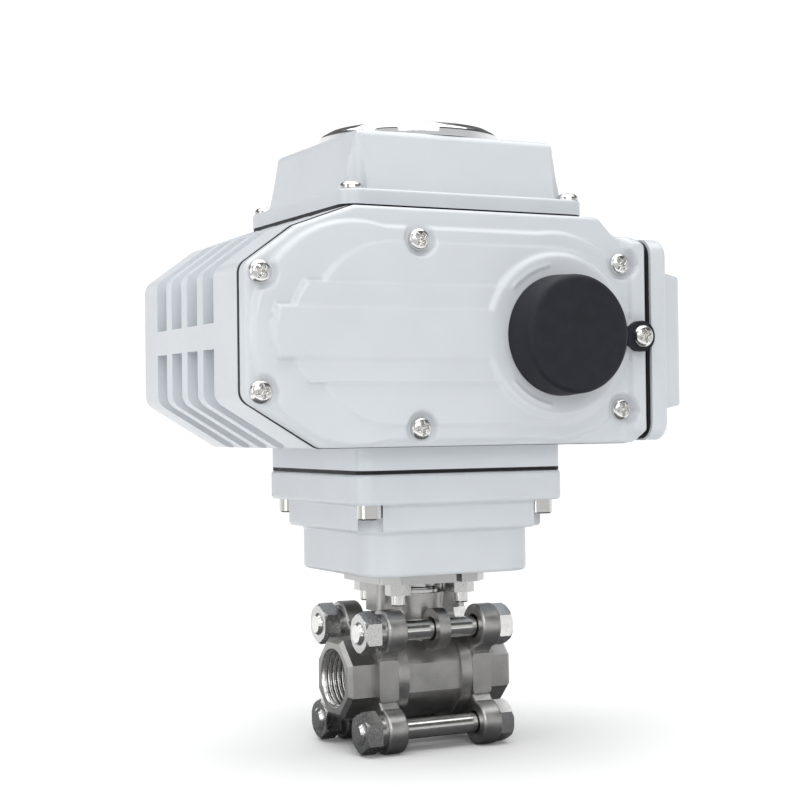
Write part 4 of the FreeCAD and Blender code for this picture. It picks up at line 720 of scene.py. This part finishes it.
class ActuatorSizes(bpy.types.PropertyGroup):
    """Sizes of the details that are modelled here."""
    rim: length("Cover rim", 1.8 * MM, "Rounding of the gear cover's edge")
    grid: length("Cover grid", 0.7 * MM, "Spacing of the gear cover's surface points")
    strip: length("Terminal strip", 57.5 * MM, "Where the cover rises towards the terminal cover")
    plateau: length("Plateau", 1.75 * MM, "Height of the cover's plateau over its flange")
    tier_step: length("Tier step", 0.72 * MM, "Height of each tier on the plateau")
    motor_disc: length("Motor disc", 37.6 * MM, "Radius of the disc over the motor pinion")
    crank_disc: length("Drive disc", 36.7 * MM, "Radius of the disc round the manual drive")
    band_half: length("Plateau half height", 36.2 * MM, "Half height of the plateau")
    tier_half: length("Tier half height", 31.2 * MM, "Half height of the first tier")
    tier_start: length("Tier start", -33.0 * MM, "Centre of the first tier's round end")
    upper_half: length("Upper bar", 17.5 * MM, "Half height of the second tier")
    lower_half: length("Name bar", 9.7 * MM, "Half height of the third tier")
    dome: length("Drive dome", 29.4 * MM, "Radius of the dome under the dust cap")
    thread_pitch: length("Thread pitch", 1.814 * MM, "Pitch of the ports' pipe thread")
    thread_root: length("Thread root", 10.42 * MM, "Root radius of the ports' pipe thread")
    thread_depth: length("Thread depth", 1.05 * MM, "Depth of the ports' pipe thread")
    thread_run: length("Thread run", 13.6 * MM, "Length of the ports' pipe thread")


class StudioSettings(bpy.types.PropertyGroup):
    """Camera, lights and floor."""
    lens: bpy.props.FloatProperty(name="Lens", description="Focal length of the camera",
                                  default=76.36, unit="CAMERA")
    heading: bpy.props.FloatProperty(name="Heading", description="Turn of the camera",
                                     default=math.radians(26.73), subtype="ANGLE")
    pitch: bpy.props.FloatProperty(name="Pitch", description="Upward tilt of the camera",
                                   default=math.radians(0.78), subtype="ANGLE")
    roll: bpy.props.FloatProperty(name="Roll", description="Turn of the camera on its own axis",
                                  default=math.radians(0.7), subtype="ANGLE")
    eye: bpy.props.FloatVectorProperty(name="Camera place", description="Where the camera stands",
                                       default=(-0.28166, -0.55023, 0.09014), subtype="XYZ",
                                       unit="LENGTH")
    sky: bpy.props.FloatProperty(name="Surroundings", description="Light from all round",
                                 default=1.06, min=0.0)
    key: bpy.props.FloatProperty(name="Key light", description="Power of the large overhead light",
                                 default=34.0, unit="POWER")
    fill: bpy.props.FloatProperty(name="Front light", description="Power of the front light",
                                  default=9.0, unit="POWER")
    floor: tint("Floor", (0.94, 0.94, 0.94), "Plain pale floor")


# ---- pieces -------------------------------------------------------------------------------------
class PieceOperator:
    """What the piece operators share: their settings, and reporting as done."""
    bl_options = {"REGISTER", "UNDO"}

    def execute(self, context):
        self.make(context.scene.actuator_colours, context.scene.actuator_sizes)
        return {"FINISHED"}


class ACTUATOR_OT_castings(PieceOperator, bpy.types.Operator):
    """Coat the base, gear housing, lid and terminal cover"""
    bl_idname = "actuator.castings"
    bl_label = "Coated castings"

    def make(self, colours, sizes):
        coat = powder_coat("white_powder", colours.powder)
        paint(coat, "base_housing", "main_housing", "top_cover", "terminal_cover")


class ACTUATOR_OT_gear_cover(PieceOperator, bpy.types.Operator):
    """Model the pressed tiers, dome and screw wells of the front gear cover"""
    bl_idname = "actuator.gear_cover"
    bl_label = "Gear cover"

    def make(self, colours, sizes):
        plan = SimpleNamespace()
        for name in ("rim", "strip", "plateau", "tier_step", "motor_disc", "crank_disc", "band_half",
                     "tier_half", "tier_start", "upper_half", "lower_half", "dome"):
            setattr(plan, name, getattr(sizes, name))
        plan.motor_x = MOTOR_X
        plan.worm_x = WORM_X
        plan.tab_x = middle("cap_tab_screw").x
        plan.back = COVER_HIGH.y
        screws = islands("front_cover_screws")
        plan.face = max(high.y for _, high in islands("front_cover_gasket")) - FLANGE_STEP
        plan.top = plan.face - COVER_LOW.y
        plan.screws = [((low.x + high.x) / 2, (low.z + high.z) / 2 - DRIVE_HEIGHT)
                       for low, high in screws]
        mesh = grid_cover(back_outline("front_gear_cover"), plan, sizes.grid)
        new_piece("gear_cover_casting", mesh, bpy.data.materials["white_powder"], "housing",
                  ["front_gear_cover"], 60.0)


class ACTUATOR_OT_gaskets(PieceOperator, bpy.types.Operator):
    """Finish the black gaskets and seals"""
    bl_idname = "actuator.gaskets"
    bl_label = "Gaskets"

    def make(self, colours, sizes):
        paint(plain_rubber("gasket_rubber", colours.gasket, 0.5), "base_gasket",
              "front_cover_gasket", "top_cover_gasket", "terminal_cover_gasket",
              "sight_glass_seal", "override_shaft_seal")


class ACTUATOR_OT_cover_screws(PieceOperator, bpy.types.Operator):
    """Model the cross-recess pan screws of all three covers and of the cap's tab"""
    bl_idname = "actuator.cover_screws"
    bl_label = "Cover screws"

    def make(self, colours, sizes):
        bright = turned_steel("plated_screw", colours.bright, "Y", 0.14, 0.24)
        for node, axis in (("front_cover_screws", (0, -1, 0)), ("top_cover_screws", (0, 0, 1)),
                           ("terminal_cover_screws", (1, 0, 0)), ("cap_tab_screw", (0, -1, 0))):
            mesh = heads_on(node, axis, PAN_RADIUS, PAN_HEIGHT)
            new_piece(node + "_pan", mesh, bright, "housing", [node], 50.0)


class ACTUATOR_OT_dust_cap(PieceOperator, bpy.types.Operator):
    """Model the rubber dust cap and its strap"""
    bl_idname = "actuator.dust_cap"
    bl_label = "Dust cap"

    def make(self, colours, sizes):
        rubber = plain_rubber("cap_rubber", colours.rubber)
        low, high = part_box("override_cap")
        radius = (high.z - low.z) / 2
        deep = high.y - low.y
        wall = 3.0 * MM
        profile = rounded([(0, deep, 0), (radius - 0.7 * MM, deep, 2.3 * MM),
                           (radius, 1.2 * MM, 6 * MM), (radius, 0, 0.35 * MM),
                           (radius - wall, 0, 0.4 * MM),
                           (radius - wall, deep - wall, 1.5 * MM), (0, deep - wall, 0)])
        centre = Vector((WORM_X, high.y, DRIVE_HEIGHT))
        mesh = lathe(profile, centre, (0, -1, 0), 128)
        strap = bmesh.new()
        bmesh.ops.create_cube(strap, size=1.0)
        start, end = WORM_X + radius - 1.2 * MM, high.x
        scale = Vector((end - start, 2.2 * MM, 8.4 * MM))
        place = Vector(((start + end) / 2, high.y - 1.4 * MM, DRIVE_HEIGHT))
        bmesh.ops.transform(strap, matrix=Matrix.Translation(place) @ Matrix.Diagonal(
            (*scale, 1.0)), verts=strap.verts)
        bmesh.ops.bevel(strap, geom=strap.edges[:], offset=0.5 * MM, segments=3, profile=0.5,
                        affect="EDGES")
        add_to(mesh, strap)
        new_piece("dust_cap_moulding", mesh, rubber, "dust_cap", ["override_cap"])
        paint(rubber, "override_cap_tab")


class ACTUATOR_OT_window(PieceOperator, bpy.types.Operator):
    """Model the indicator window: plated bezel, tinted dome, dial and pointer"""
    bl_idname = "actuator.window"
    bl_label = "Indicator window"

    def make(self, colours, sizes):
        low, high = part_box("bezel_ring")
        outer, tall = (high.x - low.x) / 2, high.z - low.z
        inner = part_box("dial_plate")[1].x + 1.6 * MM
        centre = Vector((0, 0, low.z))
        ring = rounded([(inner, 0, 0), (outer, 0, 0.3 * MM), (outer, tall * 0.62, 1.6 * MM),
                        (outer - 3.0 * MM, tall, 2.0 * MM), (inner + 2.6 * MM, tall, 1.2 * MM),
                        (inner, tall * 0.5, 0.8 * MM), (inner, 0, 0)])
        new_piece("window_bezel", lathe(ring, centre, (0, 0, 1), 160),
                  chrome("bezel_chrome", colours.plating), "housing",
                  ["bezel_ring"])
        paint(clear_dome("window_tint", colours.window), "sight_glass")
        paint(dial_paint("dial_print", colours.fluoro), "dial_plate")
        paint(moulded_plastic("pointer_yellow", colours.pointer), "indicator_disc")


class ACTUATOR_OT_valve(PieceOperator, bpy.types.Operator):
    """Finish the valve's castings and cut the pipe thread into both ports"""
    bl_idname = "actuator.valve"
    bl_label = "Valve castings"

    def make(self, colours, sizes):
        paint(cast_steel("cast_stainless", colours.casting), "valve_body", "end_cap_left",
              "end_cap_right")
        bored = turned_steel("bored_stainless", colours.bright, "X", 0.16, 0.28)
        for side, node, name in ((-1, "end_cap_left", "left_port_thread"),
                                 (1, "end_cap_right", "right_port_thread")):
            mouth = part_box(node)[0 if side < 0 else 1].x - side * 0.15 * MM
            mesh = port_thread(mouth, side, sizes.thread_run, sizes)
            new_piece(name, mesh, bored, "housing", smooth_angle=70.0)


class ACTUATOR_OT_valve_bolts(PieceOperator, bpy.types.Operator):
    """Finish the through bolts, nuts and spring washers of the valve"""
    bl_idname = "actuator.valve_bolts"
    bl_label = "Valve bolts"

    def make(self, colours, sizes):
        paint(turned_steel("bright_bolt", colours.bright, "X"), "body_bolts")
        nuts = milled_steel("machined_stainless", colours.machined)
        paint(nuts, "body_nuts", "adapter_nuts", "gland_nut", "gland_follower")
        paint(milled_steel("spring_steel", shade(colours.machined, 0.8)), "spring_washers",
              "disc_springs")


class ACTUATOR_OT_flow_parts(PieceOperator, bpy.types.Operator):
    """Finish the ball, stem, seats, seals and packing"""
    bl_idname = "actuator.flow_parts"
    bl_label = "Ball, stem and seats"

    def make(self, colours, sizes):
        paint(turned_steel("ground_ball", colours.bright, "X", 0.07, 0.13), "ball")
        paint(turned_steel("ground_stem", colours.bright, "Z"), "stem")
        paint(moulded_plastic("seat_plastic", colours.fluoro, 0.35), "seat_rings",
              "body_seals", "stem_thrust_washer", "stem_packing")


class ACTUATOR_OT_adapter(PieceOperator, bpy.types.Operator):
    """Finish the adapter plate with its screws, studs and the base screws"""
    bl_idname = "actuator.adapter"
    bl_label = "Adapter and base screws"

    def make(self, colours, sizes):
        paint(milled_steel("adapter_grey", shade(colours.machined, 0.95), 0.30, 0.42),
              "adapter_plate")
        upright = turned_steel("upright_screw", colours.bright, "Z")
        paint(upright, "ear_screws", "adapter_studs", "base_bolts")


class ACTUATOR_OT_drive_train(PieceOperator, bpy.types.Operator):
    """Finish the motor, gears, worm, worm wheel, shafts and bearings"""
    bl_idname = "actuator.drive_train"
    bl_label = "Drive train"

    def make(self, colours, sizes):
        paint(turned_steel("gear_steel", shade(colours.machined, 0.85), "Y", 0.2, 0.34),
              "motor_pinion", "cluster_gear_a", "cluster_gear_b", "worm_gear", "gear_pins",
              "worm_shaft", "worm_bearings")
        paint(turned_steel("shaft_steel", shade(colours.machined, 0.9), "Z", 0.2, 0.32),
              "output_shaft")
        paint(turned_steel("wheel_bronze", colours.bronze, "Z", 0.2, 0.34), "worm_wheel",
              "output_bush")
        paint(milled_steel("plate_aluminium", colours.machined, 0.3, 0.45), "gear_plate",
              "control_plate")
        paint(milled_steel("motor_can", shade(colours.machined, 0.7), 0.3, 0.42), "motor")


class ACTUATOR_OT_controls(PieceOperator, bpy.types.Operator):
    """Finish the cams, limit switches, circuit board, terminal block and glands"""
    bl_idname = "actuator.controls"
    bl_label = "Controls and glands"

    def make(self, colours, sizes):
        paint(moulded_plastic("cam_red", colours.cams), "switch_cams")
        black = moulded_plastic("black_nylon", colours.black_plastic)
        paint(black, "limit_switches", "terminal_block", "cable_glands", "gland_plugs")
        paint(printed_board("green_board", colours.board), "circuit_board")


class ACTUATOR_OT_stage(bpy.types.Operator):
    """Make the pale floor, the soft lights and the camera"""
    bl_idname = "actuator.stage"
    bl_label = "Studio"
    bl_options = {"REGISTER", "UNDO"}

    def execute(self, context):
        settings = context.scene.actuator_studio
        self.floor(settings)
        self.surroundings(context.scene, settings)
        for name, place, size, power, share in SOFT_LIGHTS:
            self.soft_light(name, place, size, getattr(settings, power) * share)
        self.dark_card()
        self.camera(context.scene, settings)
        return {"FINISHED"}

    def floor(self, settings):
        paper = Recipe("studio_paper", Roughness=0.9)
        faint = paper.noise(0.004, 2.0)
        paper.set(Base_Color=paper.blend(faint, shade(settings.floor, 0.99), settings.floor))
        self.sheet("studio_floor", paper.material, FLOOR_HALF, FLOOR_DROP, 8)

    def sheet(self, name, material, half, drop, cells):
        """A level square a little below the lowest point."""
        mesh = bmesh.new()
        bmesh.ops.create_grid(mesh, x_segments=cells, y_segments=cells, size=half)
        bmesh.ops.translate(mesh, vec=(0, 0, CAD_BOX[0].z - drop), verts=mesh.verts)
        data = bpy.data.meshes.new(name)
        mesh.to_mesh(data)
        mesh.free()
        data.materials.append(material)
        sheet = bpy.data.objects.new(name, data)
        bpy.context.scene.collection.objects.link(sheet)
        return sheet

    def dark_card(self):
        """A dark card under the valve that only bright metal sees."""
        velvet = Recipe("studio_card", Roughness=0.95)
        faint = velvet.noise(0.01, 2.0)
        velvet.set(Base_Color=velvet.blend(faint, (0.10, 0.10, 0.105), (0.12, 0.12, 0.125)))
        card = self.sheet("studio_card", velvet.material, CARD_HALF, CARD_DROP, 4)
        card.visible_camera = False
        card.visible_diffuse = False
        card.visible_shadow = False
        card.visible_transmission = False

    def surroundings(self, scene, settings):
        """White ahead, dimmer behind the camera, with a dim ring that gives metal its contrast."""
        world = bpy.data.worlds.new("studio")
        world.use_nodes = True
        tree = world.node_tree
        place = tree.nodes.new("ShaderNodeTexCoord")
        split = tree.nodes.new("ShaderNodeSeparateXYZ")
        ramp = tree.nodes.new("ShaderNodeValToRGB")
        for index, (height, grey) in enumerate(SKY_BANDS):
            stop = (ramp.color_ramp.elements[index] if index < 2
                    else ramp.color_ramp.elements.new(height))
            stop.position = height
            stop.color = (grey, grey, grey, 1)
        tree.links.new(place.outputs["Generated"], split.inputs[0])
        tree.links.new(split.outputs["Z"], ramp.inputs[0])
        ahead = tree.nodes.new("ShaderNodeVectorMath")
        ahead.operation = "DOT_PRODUCT"
        ahead.inputs[1].default_value = (math.sin(settings.heading), math.cos(settings.heading), 0)
        tree.links.new(place.outputs["Generated"], ahead.inputs[0])
        dim = tree.nodes.new("ShaderNodeMapRange")
        dim.inputs["From Min"].default_value = -0.1
        dim.inputs["From Max"].default_value = 0.6
        dim.inputs["To Min"].default_value = 0.62
        dim.inputs["To Max"].default_value = 1.0
        tree.links.new(ahead.outputs["Value"], dim.inputs["Value"])
        both = tree.nodes.new("ShaderNodeVectorMath")
        both.operation = "SCALE"
        tree.links.new(ramp.outputs[0], both.inputs[0])
        tree.links.new(dim.outputs["Result"], both.inputs["Scale"])
        shown = tree.nodes["Background"]
        tree.links.new(both.outputs[0], shown.inputs["Color"])
        shown.inputs["Strength"].default_value = settings.sky
        scene.world = world
        scene.view_settings.view_transform = "Standard"

    def soft_light(self, name, place, size, power):
        data = bpy.data.lights.new(name, "AREA")
        data.shape = "RECTANGLE"
        data.size, data.size_y = size
        data.energy = power
        light = bpy.data.objects.new(name, data)
        light.location = place
        aim = Vector((0, 0, 0.09)) - Vector(place)
        light.rotation_euler = aim.to_track_quat("-Z", "Y").to_euler()
        bpy.context.scene.collection.objects.link(light)

    def camera(self, scene, settings):
        data = bpy.data.cameras.new("view")
        data.lens = settings.lens
        data.sensor_width = 36.0
        data.clip_start, data.clip_end = 0.01, 50.0
        camera = bpy.data.objects.new("view", data)
        heading, tilt, roll = settings.heading, settings.pitch, settings.roll
        level = Vector((math.sin(heading), math.cos(heading), 0))
        right = Vector((math.cos(heading), -math.sin(heading), 0))
        ahead = level * math.cos(tilt) + Vector((0, 0, math.sin(tilt)))
        up = Vector((0, 0, math.cos(tilt))) - level * math.sin(tilt)
        across = right * math.cos(roll) - up * math.sin(roll)
        upward = right * math.sin(roll) + up * math.cos(roll)
        turn = Matrix((across, upward, -ahead)).transposed()
        camera.matrix_world = Matrix.Translation(settings.eye) @ turn.to_4x4()
        scene.collection.objects.link(camera)
        scene.camera = camera


class ACTUATOR_PT_panel(bpy.types.Panel):
    """Lists the actuator's pieces and settings"""
    bl_label = "Valve actuator"
    bl_idname = "ACTUATOR_PT_panel"
    bl_space_type = "VIEW_3D"
    bl_region_type = "UI"
    bl_category = "Actuator"

    def draw(self, context):
        for operator in PIECES:
            self.layout.operator(operator.bl_idname)
        for group in ("actuator_colours", "actuator_sizes", "actuator_studio"):
            box = self.layout.box()
            settings = getattr(context.scene, group)
            for name in settings.__annotations__:
                box.prop(settings, name)


PIECES = (ACTUATOR_OT_castings, ACTUATOR_OT_gear_cover, ACTUATOR_OT_gaskets,
          ACTUATOR_OT_cover_screws, ACTUATOR_OT_dust_cap, ACTUATOR_OT_window, ACTUATOR_OT_valve,
          ACTUATOR_OT_valve_bolts, ACTUATOR_OT_flow_parts, ACTUATOR_OT_adapter,
          ACTUATOR_OT_drive_train, ACTUATOR_OT_controls, ACTUATOR_OT_stage)
GROUPS = {"actuator_colours": ActuatorColours, "actuator_sizes": ActuatorSizes,
          "actuator_studio": StudioSettings}


def register():
    for group in GROUPS.values():
        bpy.utils.register_class(group)
    for operator in PIECES:
        bpy.utils.register_class(operator)
    bpy.utils.register_class(ACTUATOR_PT_panel)
    for name, group in GROUPS.items():
        setattr(bpy.types.Scene, name, bpy.props.PointerProperty(type=group))


def unregister():
    for name in GROUPS:
        delattr(bpy.types.Scene, name)
    bpy.utils.unregister_class(ACTUATOR_PT_panel)
    for operator in reversed(PIECES):
        bpy.utils.unregister_class(operator)
    for group in reversed(GROUPS.values()):
        bpy.utils.unregister_class(group)


def main():
    register()
    for operator in PIECES:
        family, action = operator.bl_idname.split(".")
        getattr(getattr(bpy.ops, family), action)()


if __name__ == "__main__":
    main()
